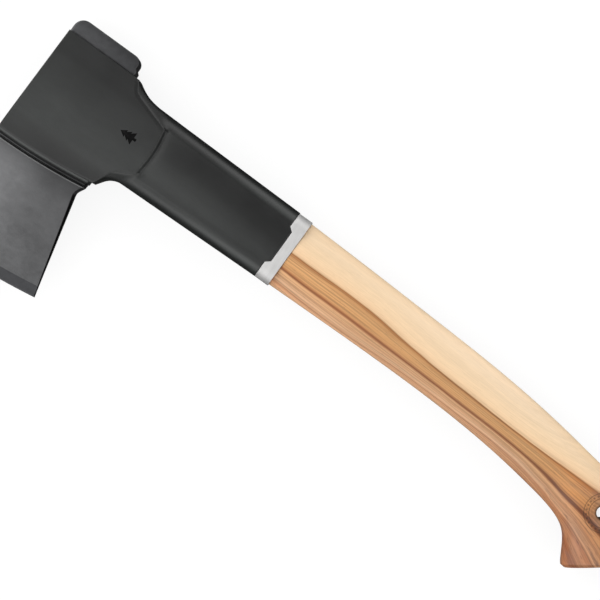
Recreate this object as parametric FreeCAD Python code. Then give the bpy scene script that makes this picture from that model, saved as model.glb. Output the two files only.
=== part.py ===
import FreeCAD, Part
import math
import os

# A hatchet lying on its side: a forged head held in a composite neck, a metal collar
# and a wooden handle. Millimetres.
#
# It is drawn in the tool's own axes. X runs along the handle from the blade's toe to
# the knob, Y is measured from the middle of the neck towards the poll, and Z runs
# through the thickness, with the mid-plane at 0. Every piece is the same on both sides
# of the mid-plane. The finished pieces are then moved so that the origin is under the
# middle of the tool's box.

# ---- driving dimensions ----
# "Half" is half a thickness along Z. Outline corners are (x, y), or (x, y, radius).

# Holder: the moulding round the head, which runs on as the neck
HOLDER_FRONT_X = 2.8
HOLDER_FRONT_LEAN = 0.9
HOLDER_HEEL_X = 62.8
HOLDER_TIP = (64.8, -33.3)
SEAM_Y = 29.5
SEAM_REAR_X = 52.3
NECK_START_X = 76.5
NECK_END_X = 170.0
NECK_TOP_Y = 23.4
NECK_BOTTOM_Y = -24.2
NECK_TOP_TAPER = 1.1
NECK_BOTTOM_TAPER = 2.3
NECK_HALF = 15.6
NECK_EDGE_RADIUS = 8.0
UPPER_HOLLOW = (62.3, 36.0)
LOWER_HOLLOW = (71.2, 12.0)

# Raised cheek panel on each side of the holder
PANEL_HALF = 17.0
PANEL_CHAMFER = 1.3
PANEL_END_X = 83.6
PANEL_REAR = [
    (52.4, 28.6),
    (55.5, 22.8, 7.0),
    (81.3, 14.6, 2.4),
    (PANEL_END_X, 0.0, 60.0),
    (82.4, -15.0, 2.6),
    (68.9, -22.0, 6.0),
    HOLDER_TIP,
]

# Lower rim of the holder, an arc; the cheeks curve in towards it and end in a lip
RIM_FRONT_Y = -40.5
RIM_RADIUS = 383.0
RIM_HALF = 13.2
CHEEK_CURVE = 16.0
LIP_WIDTH = 3.1
LIP_HALF = 15.4

# Steel head
POLL_FRONT_X = 3.8
POLL_REAR_X = 47.0
POLL_Y = 39.6
POLL_FRONT_RADIUS = 6.5
POLL_REAR_RADIUS = 4.5
POLL_BAND_Y = 33.4
POLL_BAND_STEP = 1.4
POLL_HALF = 12.5
POLL_EDGE_CHAMFER = 1.0
WAIST_HALF = 6.5
WAIST_INSET = 7.0
SHOULDER_HALF = 8.2
SHOULDER_FRONT_X = 3.8
SHOULDER_REAR_X = 62.2
SHOULDER_TOP_Y = -28.0
SHOULDER_HEIGHT = 2.4
SHOULDER_CORNER = 1.5
BLADE_FRONT_X = 4.0
BLADE_FRONT_ROOT_Y = -45.1
BLADE_HEEL_ROOT = (59.8, -43.2, 4.0)
BLADE_ROOT_Y = -34.0
BLADE_ROOT_HALF = 8.0
BLADE_HEEL = (75.6, -105.7)
BLADE_TOE_X = 0.0
EDGE_RADIUS = 450.0
EDGE_HEEL_SLOPE = math.radians(9.5)
EDGE_LAND = 0.15
BEVEL_WIDTH = 6.8
BEVEL_HALF = 1.3

# Collar, with a notch on each side for a tongue of the holder
COLLAR_END_X = 179.1
COLLAR_HALF_WIDTH = 21.9
COLLAR_HALF = 15.2
COLLAR_EDGE_RADIUS = 7.6
COLLAR_WALL = 2.4
TONGUE_LENGTH = 2.6
TONGUE_TOP_Y = 10.5
TONGUE_BOTTOM_Y = -9.6
TONGUE_FLARE = 2.1

# Tenon, glued into a socket in the neck
SOCKET_START_X = 82.0
TENON_GAP = 0.5
TENON_STEP = 1.6
TENON_TIP_HALF_WIDTH = 15.0
TENON_TIP_HALF = 9.0
TENON_EDGE_RADIUS = 4.0

# Handle, by stations from the collar to the end of the knob: the point on the back,
# the point on the belly and the half thickness
HANDLE_STATIONS = [
    ((COLLAR_END_X, 21.2), (COLLAR_END_X, -20.9), 14.6),
    ((222.0, 20.1), (222.0, -20.1), 13.9),
    ((268.0, 18.6), (268.0, -19.7), 13.3),
    ((312.0, 16.7), (312.0, -20.8), 13.3),
    ((342.0, 14.3), (342.0, -23.2), 13.7),
    ((366.0, 11.4), (366.0, -26.4), 14.2),
    ((386.0, 8.4), (385.0, -30.2), 14.7),
    ((404.0, 5.6), (396.0, -35.6), 15.0),
    ((421.0, 1.2), (401.7, -43.0), 15.0),
    ((436.0, -9.6), (405.6, -49.8), 15.0),
    ((443.8, -23.9), (407.4, -52.2), 14.8),
]
SECTION_POWER = 2.5
SECTION_POINTS = 24
KNOB_CHAMFER = 1.8

# Hanging hole through the knob, with a wide mouth on each side
HOLE_CENTRE = (408.7, -14.4)
HOLE_RADIUS = 3.8
HOLE_WALL_HALF = 13.0
MOUTH_DEPTH = 4.0
MOUTH_RADIUS = 10.6

# How far cutting shapes run past what they cut
MARGIN = 5.0

UP = FreeCAD.Vector(0.0, 0.0, 1.0)
MIDDLE = FreeCAD.Vector(0.0, 0.0, 0.0)


# ---- drawing helpers ----

def vec(x, y, z=0.0):
    return FreeCAD.Vector(x, y, z)


def line(a, b):
    return Part.LineSegment(vec(*a), vec(*b)).toShape()


def arc(a, middle, b):
    return Part.Arc(vec(*a), vec(*middle), vec(*b)).toShape()


def rounded(corners):
    """Lines through these corners, with an arc at each that has a radius."""
    edges = []
    here = corners[0][:2]
    for before, corner, after in zip(corners, corners[1:], corners[2:]):
        if len(corner) == 2:
            edges.append(line(here, corner))
            here = corner
            continue
        point = vec(*corner[:2])
        radius = corner[2]
        back = (vec(*before[:2]) - point).normalize()
        on = (vec(*after[:2]) - point).normalize()
        half_angle = 0.5 * back.getAngle(on)
        bisector = (back + on).normalize()
        start = point + back * (radius / math.tan(half_angle))
        middle = point + bisector * (radius / math.sin(half_angle) - radius)
        end = point + on * (radius / math.tan(half_angle))
        edges.append(Part.LineSegment(vec(*here), start).toShape())
        edges.append(Part.Arc(start, middle, end).toShape())
        here = (end.x, end.y)
    edges.append(line(here, corners[-1][:2]))
    return edges


def slab(edges, half):
    """A flat plate with this outline, from -half to +half through the thickness."""
    face = Part.Face(Part.Wire(edges))
    face.translate(UP * -half)
    return face.extrude(UP * (2.0 * half))


def both_sides(shape):
    """The shape and its mirror image in the mid-plane, as one."""
    return shape.fuse(shape.mirror(MIDDLE, UP))


def face_edges(plate, half, test):
    """The edges of a plate's two flat faces whose middles pass the test."""
    flat = [e for e in plate.Edges if abs(abs(e.CenterOfMass.z) - half) < 0.01]
    return [e for e in flat if test(e.CenterOfMass)]


def rounded_section(x, half_width, half, radius):
    """A rounded rectangle across the handle at x, as a closed wire."""
    corners = [
        (half_width - radius, half - radius),
        (radius - half_width, half - radius),
        (radius - half_width, radius - half),
        (half_width - radius, radius - half),
    ]
    arcs = []
    for quarter, (y, z) in enumerate(corners):
        angles = [math.radians(90.0 * quarter + step) for step in (0.0, 45.0, 90.0)]
        arcs.append([vec(x, y + radius * math.cos(a), z + radius * math.sin(a)) for a in angles])
    edges = []
    for here, after in zip(arcs, arcs[1:] + arcs[:1]):
        edges.append(Part.Arc(*here).toShape())
        edges.append(Part.LineSegment(here[-1], after[0]).toShape())
    return Part.Wire(edges)


def straight_bar(section, length):
    return Part.Face(section).extrude(vec(length, 0.0, 0.0))


def tapered_bar(start, end):
    return Part.makeLoft([start, end], True, True)


# ---- shared curves ----

def rim_point(x, outset=0.0):
    """Point of the holder's lower rim at x, or of a parallel arc outside it."""
    height = RIM_FRONT_Y + RIM_RADIUS
    return (x, height - math.sqrt((RIM_RADIUS + outset) ** 2 - (x - HOLDER_FRONT_X) ** 2))


def rim_arc(start, end, outset=0.0):
    points = [rim_point(x, outset) for x in (start, 0.5 * (start + end), end)]
    return arc(*points)


def edge_centre():
    """Centre of the arc that the cutting edge follows."""
    x, y = BLADE_HEEL
    return vec(
        x - EDGE_RADIUS * math.sin(EDGE_HEEL_SLOPE), y + EDGE_RADIUS * math.cos(EDGE_HEEL_SLOPE)
    )


def edge_point(x, inset=0.0):
    """Point of the cutting edge at x, or of a parallel arc inside it."""
    centre = edge_centre()
    return (x, centre.y - math.sqrt((EDGE_RADIUS - inset) ** 2 - (x - centre.x) ** 2))


def neck_top(x):
    share = (x - NECK_START_X) / (NECK_END_X - NECK_START_X)
    return NECK_TOP_Y - NECK_TOP_TAPER * share


def neck_bottom(x):
    share = (x - NECK_START_X) / (NECK_END_X - NECK_START_X)
    return NECK_BOTTOM_Y + NECK_BOTTOM_TAPER * share


# ---- steel head ----

def poll():
    """The butt of the head, with a low band next to the holder."""
    band_x = POLL_REAR_X + POLL_BAND_STEP
    outline = rounded(
        [
            (band_x, SEAM_Y),
            (POLL_FRONT_X, SEAM_Y),
            (POLL_FRONT_X, POLL_Y, POLL_FRONT_RADIUS),
            (POLL_REAR_X, POLL_Y, POLL_REAR_RADIUS),
            (POLL_REAR_X, POLL_BAND_Y),
            (band_x, POLL_BAND_Y - POLL_BAND_STEP),
            (band_x, SEAM_Y),
        ]
    )
    block = slab(outline, POLL_HALF)
    rim = face_edges(block, POLL_HALF, lambda c: c.y > POLL_BAND_Y)
    return block.makeChamfer(POLL_EDGE_CHAMFER, rim)


def waist():
    """The narrow middle of the head, which the holder grips all round."""
    front = HOLDER_FRONT_X + WAIST_INSET
    rear = POLL_REAR_X - WAIST_INSET
    size = vec(rear - front, SEAM_Y - SHOULDER_TOP_Y, 2.0 * WAIST_HALF)
    return Part.makeBox(size.x, size.y, size.z, vec(front, SHOULDER_TOP_Y, -WAIST_HALF))


def shoulder():
    """The thicker band of steel where the blade leaves the holder."""
    corner_end = SHOULDER_REAR_X - 2.0 * SHOULDER_CORNER
    outline = rounded(
        [
            rim_point(SHOULDER_FRONT_X, SHOULDER_HEIGHT),
            (SHOULDER_FRONT_X, SHOULDER_TOP_Y),
            (SHOULDER_REAR_X, SHOULDER_TOP_Y),
            (*rim_point(SHOULDER_REAR_X, SHOULDER_HEIGHT), SHOULDER_CORNER),
            rim_point(corner_end, SHOULDER_HEIGHT),
        ]
    )
    outline.append(rim_arc(corner_end, SHOULDER_FRONT_X, SHOULDER_HEIGHT))
    return slab(outline, SHOULDER_HALF)


def edge_cones(near_inset, near_half, far_inset, far_half):
    """All between two cones, one each side, that run parallel to the cutting edge.

    They have these half thicknesses at these distances inside the edge's arc.
    """
    slope = (far_half - near_half) / (far_inset - near_inset)
    base = EDGE_RADIUS - near_inset + near_half / slope
    rise = BLADE_ROOT_HALF + MARGIN
    return both_sides(Part.makeCone(base, base - rise / slope, rise, edge_centre(), UP))


def blade_limit():
    """Limits the blade's thickness: a bevel at the edge, then a slow taper to the root."""
    centre = edge_centre()
    root_x = 0.5 * (BLADE_FRONT_X + BLADE_HEEL_ROOT[0])
    root_inset = EDGE_RADIUS - (centre.y - rim_point(root_x, SHOULDER_HEIGHT)[1])
    bevels = edge_cones(0.0, 0.0, BEVEL_WIDTH, BEVEL_HALF)
    tapers = edge_cones(BEVEL_WIDTH, BEVEL_HALF, root_inset, BLADE_ROOT_HALF)
    height = 2.0 * (BLADE_ROOT_HALF + MARGIN)
    land = Part.makeCylinder(EDGE_RADIUS - EDGE_LAND, height, centre - UP * 0.5 * height, UP)
    return bevels.common(tapers).common(land)


def blade():
    """The wedge below the shoulder, flared at the heel and the toe."""
    toe = edge_point(BLADE_TOE_X)
    outline = rounded(
        [
            BLADE_HEEL,
            BLADE_HEEL_ROOT,
            rim_point(SHOULDER_REAR_X, SHOULDER_HEIGHT),
            (SHOULDER_REAR_X, BLADE_ROOT_Y),
            (BLADE_FRONT_X, BLADE_ROOT_Y),
            (BLADE_FRONT_X, BLADE_FRONT_ROOT_Y),
            toe,
        ]
    )
    outline.append(arc(toe, edge_point(0.5 * (toe[0] + BLADE_HEEL[0])), BLADE_HEEL))
    return slab(outline, 2.0 * BLADE_ROOT_HALF).common(blade_limit())


def steel_head():
    return poll().fuse([waist(), shoulder(), blade()]).removeSplitter()


# ---- collar ----

def collar_length():
    return COLLAR_END_X - NECK_END_X


def collar_outer():
    return rounded_section(NECK_END_X, COLLAR_HALF_WIDTH, COLLAR_HALF, COLLAR_EDGE_RADIUS)


def collar_bore():
    return rounded_section(
        NECK_END_X,
        COLLAR_HALF_WIDTH - COLLAR_WALL,
        COLLAR_HALF - COLLAR_WALL,
        COLLAR_EDGE_RADIUS - COLLAR_WALL,
    )


def tongues():
    """The two tongues of the holder that reach into the collar's notches."""
    root = NECK_END_X - 0.5 * MARGIN
    tip = NECK_END_X + TONGUE_LENGTH
    high = TONGUE_TOP_Y + TONGUE_FLARE
    low = TONGUE_BOTTOM_Y - TONGUE_FLARE
    outline = rounded(
        [
            (root, high),
            (NECK_END_X, high),
            (tip, TONGUE_TOP_Y),
            (tip, TONGUE_BOTTOM_Y),
            (NECK_END_X, low),
            (root, low),
            (root, high),
        ]
    )
    bore = straight_bar(collar_bore(), 2.0 * MARGIN)
    bore.translate(vec(-MARGIN, 0.0, 0.0))
    return slab(outline, NECK_HALF).cut(bore)


def collar_ring():
    ring = straight_bar(collar_outer(), collar_length())
    return ring.cut(straight_bar(collar_bore(), collar_length())).cut(tongues())


# ---- tenon, socket and bond ----

def tenon_section(x, gap):
    """The tenon's section at x, or the socket's with the gap round the tenon."""
    share = (NECK_END_X - x) / (NECK_END_X - SOCKET_START_X)
    root_half_width = COLLAR_HALF_WIDTH - COLLAR_WALL - TENON_STEP
    root_half = COLLAR_HALF - COLLAR_WALL - TENON_STEP
    half_width = root_half_width + (TENON_TIP_HALF_WIDTH - root_half_width) * share
    half = root_half + (TENON_TIP_HALF - root_half) * share
    return rounded_section(x, half_width + gap, half + gap, TENON_EDGE_RADIUS + gap)


def tenon():
    return tapered_bar(tenon_section(SOCKET_START_X, 0.0), tenon_section(NECK_END_X, 0.0))


def socket():
    start = tenon_section(SOCKET_START_X - TENON_GAP, TENON_GAP)
    return tapered_bar(start, tenon_section(NECK_END_X, TENON_GAP))


def tenon_adhesive():
    return socket().cut(tenon())


# ---- holder with its neck ----

def holder_front():
    """Front of the holder, from the rim up to the seam and along the seam."""
    return [
        rim_point(HOLDER_FRONT_X),
        (HOLDER_FRONT_X + HOLDER_FRONT_LEAN, SEAM_Y),
        (SEAM_REAR_X, SEAM_Y),
    ]


def holder_heel():
    """The small step beside the blade's heel, down to the rim."""
    return [(HOLDER_HEEL_X, HOLDER_TIP[1]), rim_point(HOLDER_HEEL_X)]


def holder_plate(rear, half):
    """A plate with the holder's front and rim and this rear outline."""
    outline = rounded(holder_front() + rear + holder_heel())
    outline.append(rim_arc(HOLDER_HEEL_X, HOLDER_FRONT_X))
    return slab(outline, half)


def is_behind_head(point):
    """True along the rear of the holder, between the seam and the tip at the heel."""
    return point.x > SEAM_REAR_X + 0.5 and point.y > HOLDER_TIP[1] + 0.5


def holder_body():
    """The holder and neck at the neck's thickness, with rounded long edges."""
    upper_x, upper_radius = UPPER_HOLLOW
    lower_x, lower_radius = LOWER_HOLLOW
    body = holder_plate(
        [
            (upper_x, neck_top(upper_x), upper_radius),
            (NECK_END_X, neck_top(NECK_END_X)),
            (NECK_END_X, neck_bottom(NECK_END_X)),
            (lower_x, neck_bottom(lower_x), lower_radius),
            HOLDER_TIP,
        ],
        NECK_HALF,
    )
    long_edges = face_edges(
        body, NECK_HALF, lambda c: is_behind_head(c) and c.x < NECK_END_X - 1.0
    )
    return body.makeFillet(NECK_EDGE_RADIUS, long_edges)


def cheek_panel():
    """The raised panels that cover the head and end in a step on the neck."""
    panel = holder_plate(PANEL_REAR, PANEL_HALF)
    return panel.makeChamfer(PANEL_CHAMFER, face_edges(panel, PANEL_HALF, is_behind_head))


def cheek_limit():
    """Limits the thickness: flat cheeks that curve in to a bevelled lip at the rim."""
    centre = vec(HOLDER_FRONT_X, RIM_FRONT_Y + RIM_RADIUS)
    lip = RIM_RADIUS - LIP_WIDTH
    flat_end = lip - CHEEK_CURVE
    drop = PANEL_HALF - LIP_HALF
    radius = (CHEEK_CURVE ** 2 + drop ** 2) / (2.0 * drop)
    half_way = 0.5 * CHEEK_CURVE
    middle_half = PANEL_HALF - radius + math.sqrt(radius ** 2 - half_way ** 2)
    inner = RIM_RADIUS - 2.0 * PANEL_END_X

    def at(reach, z):
        return vec(centre.x, centre.y - reach, z)

    points = [
        at(lip, LIP_HALF),
        at(RIM_RADIUS, RIM_HALF),
        at(RIM_RADIUS + MARGIN, RIM_HALF),
        at(RIM_RADIUS + MARGIN, 0.0),
        at(inner, 0.0),
        at(inner, PANEL_HALF),
        at(flat_end, PANEL_HALF),
    ]
    edges = [Part.LineSegment(a, b).toShape() for a, b in zip(points, points[1:])]
    edges.append(Part.Arc(points[-1], at(flat_end + half_way, middle_half), points[0]).toShape())
    face = Part.Face(Part.Wire(edges))
    face.rotate(centre, UP, -MARGIN)
    head = face.revolve(centre, UP, 5.0 * MARGIN)
    corner = vec(PANEL_END_X, -NECK_END_X, 0.0)
    neck = Part.makeBox(NECK_END_X, 2.0 * NECK_END_X, PANEL_HALF, corner)
    return both_sides(head.fuse(neck))


def neck_moulding():
    outer = holder_body().fuse([cheek_panel(), tongues()]).common(cheek_limit())
    return outer.cut(steel_head()).cut(socket()).removeSplitter()


# ---- handle ----

def handle_section(back, belly, half, shrink=0.0):
    """Points of an oval through the back and belly, square to the mid-plane."""
    middle = (vec(*back) + vec(*belly)) * 0.5
    across = (vec(*back) - vec(*belly)) * 0.5
    width = across.Length - shrink
    across.normalize()
    points = []
    for step in range(SECTION_POINTS):
        angle = 2.0 * math.pi * step / SECTION_POINTS
        c = math.cos(angle)
        s = math.sin(angle)
        reach = math.copysign(abs(c) ** (2.0 / SECTION_POWER), c) * width
        height = math.copysign(abs(s) ** (2.0 / SECTION_POWER), s) * (half - shrink)
        points.append(middle + across * reach + UP * height)
    return points


def closed_curve(points):
    """A smooth closed curve; all curves from as many points share their knots."""
    spline = Part.BSplineCurve()
    count = len(points)
    spline.interpolate(
        Points=points, PeriodicFlag=True, Parameters=[i / count for i in range(count + 1)]
    )
    return spline


def skin(sections):
    """A solid with a smooth side through these closed sections and flat ends."""
    curves = [closed_curve(points) for points in sections]
    middles = [0.5 * (points[0] + points[len(points) // 2]) for points in sections]
    along = [0.0]
    for here, after in zip(middles, middles[1:]):
        along.append(along[-1] + (after - here).Length)
    columns = []
    for poles in zip(*[c.getPoles() for c in curves]):
        column = Part.BSplineCurve()
        column.interpolate(Points=list(poles), Parameters=along)
        columns.append(column)
    side = Part.BSplineSurface()
    side.buildFromPolesMultsKnots(
        [c.getPoles() for c in columns],
        curves[0].getMultiplicities(),
        columns[0].getMultiplicities(),
        curves[0].getKnots(),
        columns[0].getKnots(),
        True,
        False,
        curves[0].Degree,
        columns[0].Degree,
    )
    ends = [Part.Face(Part.Wire(side.vIso(v).toShape())) for v in (along[0], along[-1])]
    shell = Part.makeShell([side.toShape()] + ends)
    shell.sewShape()
    return Part.makeSolid(shell)


def knob_end():
    """The chamfered end of the knob."""
    back, belly, half = HANDLE_STATIONS[-1]
    along = vec(*back) - vec(*belly)
    outward = vec(along.y, -along.x).normalize()
    wires = []
    for shrink in (0.0, KNOB_CHAMFER):
        wire = Part.Wire(closed_curve(handle_section(back, belly, half, shrink)).toShape())
        wire.translate(outward * shrink)
        wires.append(wire)
    return tapered_bar(*wires)


def hanging_hole():
    middle = vec(*HOLE_CENTRE)
    wall = Part.makeCylinder(HOLE_RADIUS, 2.0 * HOLE_WALL_HALF, middle - UP * HOLE_WALL_HALF, UP)
    mouth = Part.makeCone(
        HOLE_RADIUS, MOUTH_RADIUS, MOUTH_DEPTH, middle + UP * HOLE_WALL_HALF, UP
    )
    return wall.fuse(both_sides(mouth))


def handle():
    grip = skin([handle_section(*station) for station in HANDLE_STATIONS])
    root = straight_bar(collar_bore(), collar_length())
    return grip.fuse([knob_end(), root, tenon()]).cut(hanging_hole())


# ---- the whole tool ----

def main():
    os.makedirs("parts", exist_ok=True)
    pieces = {
        "steel_head": steel_head(),
        "neck_moulding": neck_moulding(),
        "collar_ring": collar_ring(),
        "handle": handle(),
        "tenon_adhesive": tenon_adhesive(),
    }
    box = Part.makeCompound(list(pieces.values())).optimalBoundingBox(False, False)
    shift = vec(-0.5 * (box.XMin + box.XMax), -0.5 * (box.YMin + box.YMax), PANEL_HALF)
    print("moved by", shift, "box", box)
    for name, piece in pieces.items():
        piece.translate(shift)
        print(name, piece.isValid(), len(piece.Solids), round(piece.Volume / 1000.0, 2), "cm3")
        piece.exportStep("parts/" + name + ".step")


main()
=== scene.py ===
import math

import bmesh
import bpy
import numpy as np
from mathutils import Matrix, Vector
from mathutils.bvhtree import BVHTree


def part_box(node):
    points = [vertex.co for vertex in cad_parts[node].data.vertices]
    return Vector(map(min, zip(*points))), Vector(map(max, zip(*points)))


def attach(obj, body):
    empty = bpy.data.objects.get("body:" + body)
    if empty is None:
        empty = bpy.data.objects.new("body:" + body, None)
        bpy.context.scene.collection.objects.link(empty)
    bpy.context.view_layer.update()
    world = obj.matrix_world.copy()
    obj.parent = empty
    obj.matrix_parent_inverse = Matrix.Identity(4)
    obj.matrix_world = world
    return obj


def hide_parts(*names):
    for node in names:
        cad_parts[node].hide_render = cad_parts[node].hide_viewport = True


# Looks of a hatchet that lies on its side: forged head, composite holder with its neck,
# metal collar and curved wooden handle.
#
# Shapes are drawn in the tool's own axes, in millimetres: X along the handle from the
# blade's toe to the knob, Y from the middle of the neck towards the poll, Z through the
# thickness with the mid-plane at 0. Every shape is the same on both sides of the
# mid-plane. add_piece() moves them into the row frame, in metres, with a shift that is
# found from the boxes of the CAD nodes.

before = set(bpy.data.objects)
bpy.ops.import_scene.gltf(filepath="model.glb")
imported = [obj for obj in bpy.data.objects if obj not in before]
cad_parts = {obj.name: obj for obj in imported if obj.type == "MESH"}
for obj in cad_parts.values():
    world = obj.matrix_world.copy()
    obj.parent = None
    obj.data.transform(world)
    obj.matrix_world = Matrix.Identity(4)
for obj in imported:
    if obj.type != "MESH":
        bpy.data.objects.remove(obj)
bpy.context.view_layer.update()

BODY = "root"
MM = 0.001
TINY = 1e-12
DOUBLED_WITHIN = 0.002
EMPTY_WITHIN = 0.001

# ---- driving dimensions, in millimetres ----
# "Half" is half a thickness along Z. Outline corners are (x, y), or (x, y, radius).

# Holder and its neck
HOLDER_FRONT_X = 2.8
HOLDER_FRONT_LEAN = 0.9
HOLDER_HEEL_X = 62.5
HOLDER_TIP = (64.8, -33.3)
SEAM_Y = 29.5
SEAM_REAR_X = 52.3
NECK_START_X = 76.5
NECK_END_X = 170.0
NECK_TOP_Y = 23.4
NECK_BOTTOM_Y = -24.2
NECK_TOP_TAPER = 1.1
NECK_BOTTOM_TAPER = 2.3
NECK_HALF = 15.6
NECK_EDGE_RADIUS = 8.0
NECK_CROWN = 0.45
NECK_CROWN_HALF_WIDTH = 17.0
UPPER_HOLLOW = (62.3, 36.0)
LOWER_HOLLOW = (71.2, 12.0)
HOLDER_EDGE_RADIUS = 0.6
SEAM_EDGE_RADIUS = 0.05
NECK_END_RADIUS = 0.9

# Raised cheek panel, from the tip at the heel round to the seam
PANEL_HALF = 17.0
PANEL_CHAMFER = 1.3
PANEL_END_SLOPE = 1.5
PANEL_SIDE_TILT = math.radians(42.0)
PANEL_SOFTNESS = 0.5
PANEL_CREST_RADIUS = 2.6
PANEL_CREST_INSET = 1.1
PANEL_OUTLINE_RADIUS = 1.5
PANEL_RUN_ON = 40.0
PANEL_REAR = [
    HOLDER_TIP,
    (68.9, -22.0, 6.0),
    (82.4, -15.0, 2.6),
    (83.6, 0.0, 60.0),
    (81.3, 14.6, 2.4),
    (55.5, 22.8, 7.0),
    (52.4, 28.6),
    (SEAM_REAR_X, SEAM_Y),
]
VALLEY_DEPTH = 0.9
VALLEY_REACH = 1.2
VALLEY_HALF_WIDTH = 17.0

# Lower rim of the holder
RIM_FRONT_Y = -40.5
RIM_RADIUS = 383.0
RIM_CENTRE = (HOLDER_FRONT_X, RIM_FRONT_Y + RIM_RADIUS)
RIM_HALF = 13.2
CHEEK_CURVE = 16.0
LIP_WIDTH = 3.1
LIP_HALF = 15.4
LIP_FLAT_WIDTH = 1.9
LIP_FLAT_DROP = 1.0
MARK_RISE = 0.04

# Steel head
POLL_FRONT_X = 3.8
POLL_REAR_X = 47.0
POLL_Y = 39.6
POLL_FRONT_RADIUS = 6.5
POLL_REAR_RADIUS = 4.5
POLL_BAND_Y = 33.4
POLL_BAND_STEP = 1.4
POLL_HALF = 12.5
POLL_EDGE = 1.0
WAIST_HALF = 6.5
WAIST_INSET = 7.0
SHOULDER_HALF = 8.2
SHOULDER_FRONT_X = 3.8
SHOULDER_REAR_X = 62.4
SHOULDER_TOP_Y = -28.0
SHOULDER_HEIGHT = 2.4
BLADE_FRONT_X = 4.0
BLADE_FRONT_ROOT_Y = -45.1
BLADE_HEEL_ROOT = (59.8, -43.2, 4.0)
BLADE_ROOT_HALF = 8.0
BLADE_HEEL = (75.6, -105.7)
BLADE_TOE_X = 0.0
BLADE_EDGE = 1.2
EDGE_RADIUS = 450.0
EDGE_HEEL_SLOPE = math.radians(9.5)
EDGE_LAND = 0.15
BEVEL_WIDTH = 6.8
BEVEL_HALF = 1.3

# Collar and the tongues of the holder in its notches
COLLAR_END_X = 179.1
COLLAR_HALF_WIDTH = 21.9
COLLAR_HALF = 15.2
COLLAR_EDGE_RADIUS = 7.6
COLLAR_WALL = 2.4
COLLAR_BREAK = 0.35
TONGUE_LENGTH = 2.6
TONGUE_TOP_Y = 10.5
TONGUE_BOTTOM_Y = -9.6
TONGUE_FLARE = 2.1
TONGUE_GAP = 0.15

# Tenon
SOCKET_START_X = 82.0
TENON_STEP = 1.6
TENON_TIP_HALF_WIDTH = 15.0
TENON_TIP_HALF = 9.0

# Handle: the point on the back, the point on the belly and the half thickness
HANDLE_STATIONS = [
    ((COLLAR_END_X, 21.2), (COLLAR_END_X, -20.9), 14.6),
    ((222.0, 20.1), (222.0, -20.1), 13.9),
    ((268.0, 18.6), (268.0, -19.7), 13.3),
    ((312.0, 16.7), (312.0, -20.8), 13.3),
    ((342.0, 14.3), (342.0, -23.2), 13.7),
    ((366.0, 11.4), (366.0, -26.4), 14.2),
    ((386.0, 8.4), (385.0, -30.2), 14.7),
    ((404.0, 5.6), (396.0, -35.6), 15.0),
    ((421.0, 1.2), (401.7, -43.0), 15.0),
    ((436.0, -9.6), (405.6, -49.8), 15.0),
    ((443.8, -23.9), (407.4, -52.2), 14.8),
]
SECTION_POWER = 2.5
WOOD_BREAK = 0.4
HOLE_CENTRE = (408.7, -14.4)
HOLE_RADIUS = 3.8
MOUTH_RADIUS = 7.1
MOUTH_DEPTH = 1.9

# ---- the row frame ----

head_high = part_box("steel_head")[1]
handle_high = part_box("handle")[1]
holder_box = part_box("neck_moulding")
KNOB_X = HANDLE_STATIONS[-1][0][0]
SHIFT = np.array(
    [
        handle_high.x - KNOB_X * MM,
        head_high.y - POLL_Y * MM,
        0.5 * (holder_box[0].z + holder_box[1].z),
    ]
)


# ---- drawing helpers ----

def unit(vector):
    return vector / np.linalg.norm(vector)


def rounded(corners, arc_step=0.25):
    """Points along straight runs that are joined by tangent arcs."""
    points = [np.array(corners[0][:2], float)]
    for before, corner, after in zip(corners, corners[1:], corners[2:]):
        point = np.array(corner[:2], float)
        if len(corner) == 2:
            points.append(point)
            continue
        radius = corner[2]
        back = unit(np.array(before[:2]) - point)
        on = unit(np.array(after[:2]) - point)
        half_angle = 0.5 * math.acos(float(np.clip(back @ on, -1.0, 1.0)))
        centre = point + unit(back + on) * (radius / math.sin(half_angle))
        start = point + back * (radius / math.tan(half_angle)) - centre
        turn = math.pi - 2.0 * half_angle
        if start[0] * on[1] - start[1] * on[0] < 0.0:
            turn = -turn
        steps = max(2, int(radius * abs(turn) / arc_step))
        for step in range(steps + 1):
            c = math.cos(turn * step / steps)
            s = math.sin(turn * step / steps)
            points.append(centre + np.array([start[0] * c - start[1] * s, start[0] * s + start[1] * c]))
    points.append(np.array(corners[-1][:2], float))
    return np.array(points)


def lengths_along(path):
    steps = np.linalg.norm(np.diff(path, axis=0), axis=1)
    return np.concatenate([[0.0], np.cumsum(steps)])


def at_lengths(path, wanted):
    """Points of a path at these distances along it."""
    along = lengths_along(path)
    return np.column_stack([np.interp(wanted, along, path[:, k]) for k in range(path.shape[1])])


def spread(start_steps, total, end_steps, pitch=None, count=None):
    """Distances from 0 to total: these steps from each end, and an even pitch between.

    The pitch between is given, or follows from the count of all the distances.
    """
    start = np.array(start_steps, float)
    end = total - np.array(end_steps, float)[::-1]
    if count is None:
        between = max(2, int(round((end[0] - start[-1]) / pitch)) + 1)
    else:
        between = count - len(start) - len(end) + 2
    return np.concatenate([start[:-1], np.linspace(start[-1], end[0], between), end[1:]])


def edge_drop(distance, radius):
    """How far a rounded edge has dropped at this distance inside the outline."""
    inside = np.clip(distance, 0.0, radius)
    return radius - np.sqrt(np.maximum(radius ** 2 - (radius - inside) ** 2, 0.0))


def soft_max(a, b, softness):
    overlap = np.maximum(softness - np.abs(a - b), 0.0) / softness
    return np.maximum(a, b) + overlap ** 2 * softness / 4.0


def soft_min(a, b, softness):
    return -soft_max(-a, -b, softness)


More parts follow.
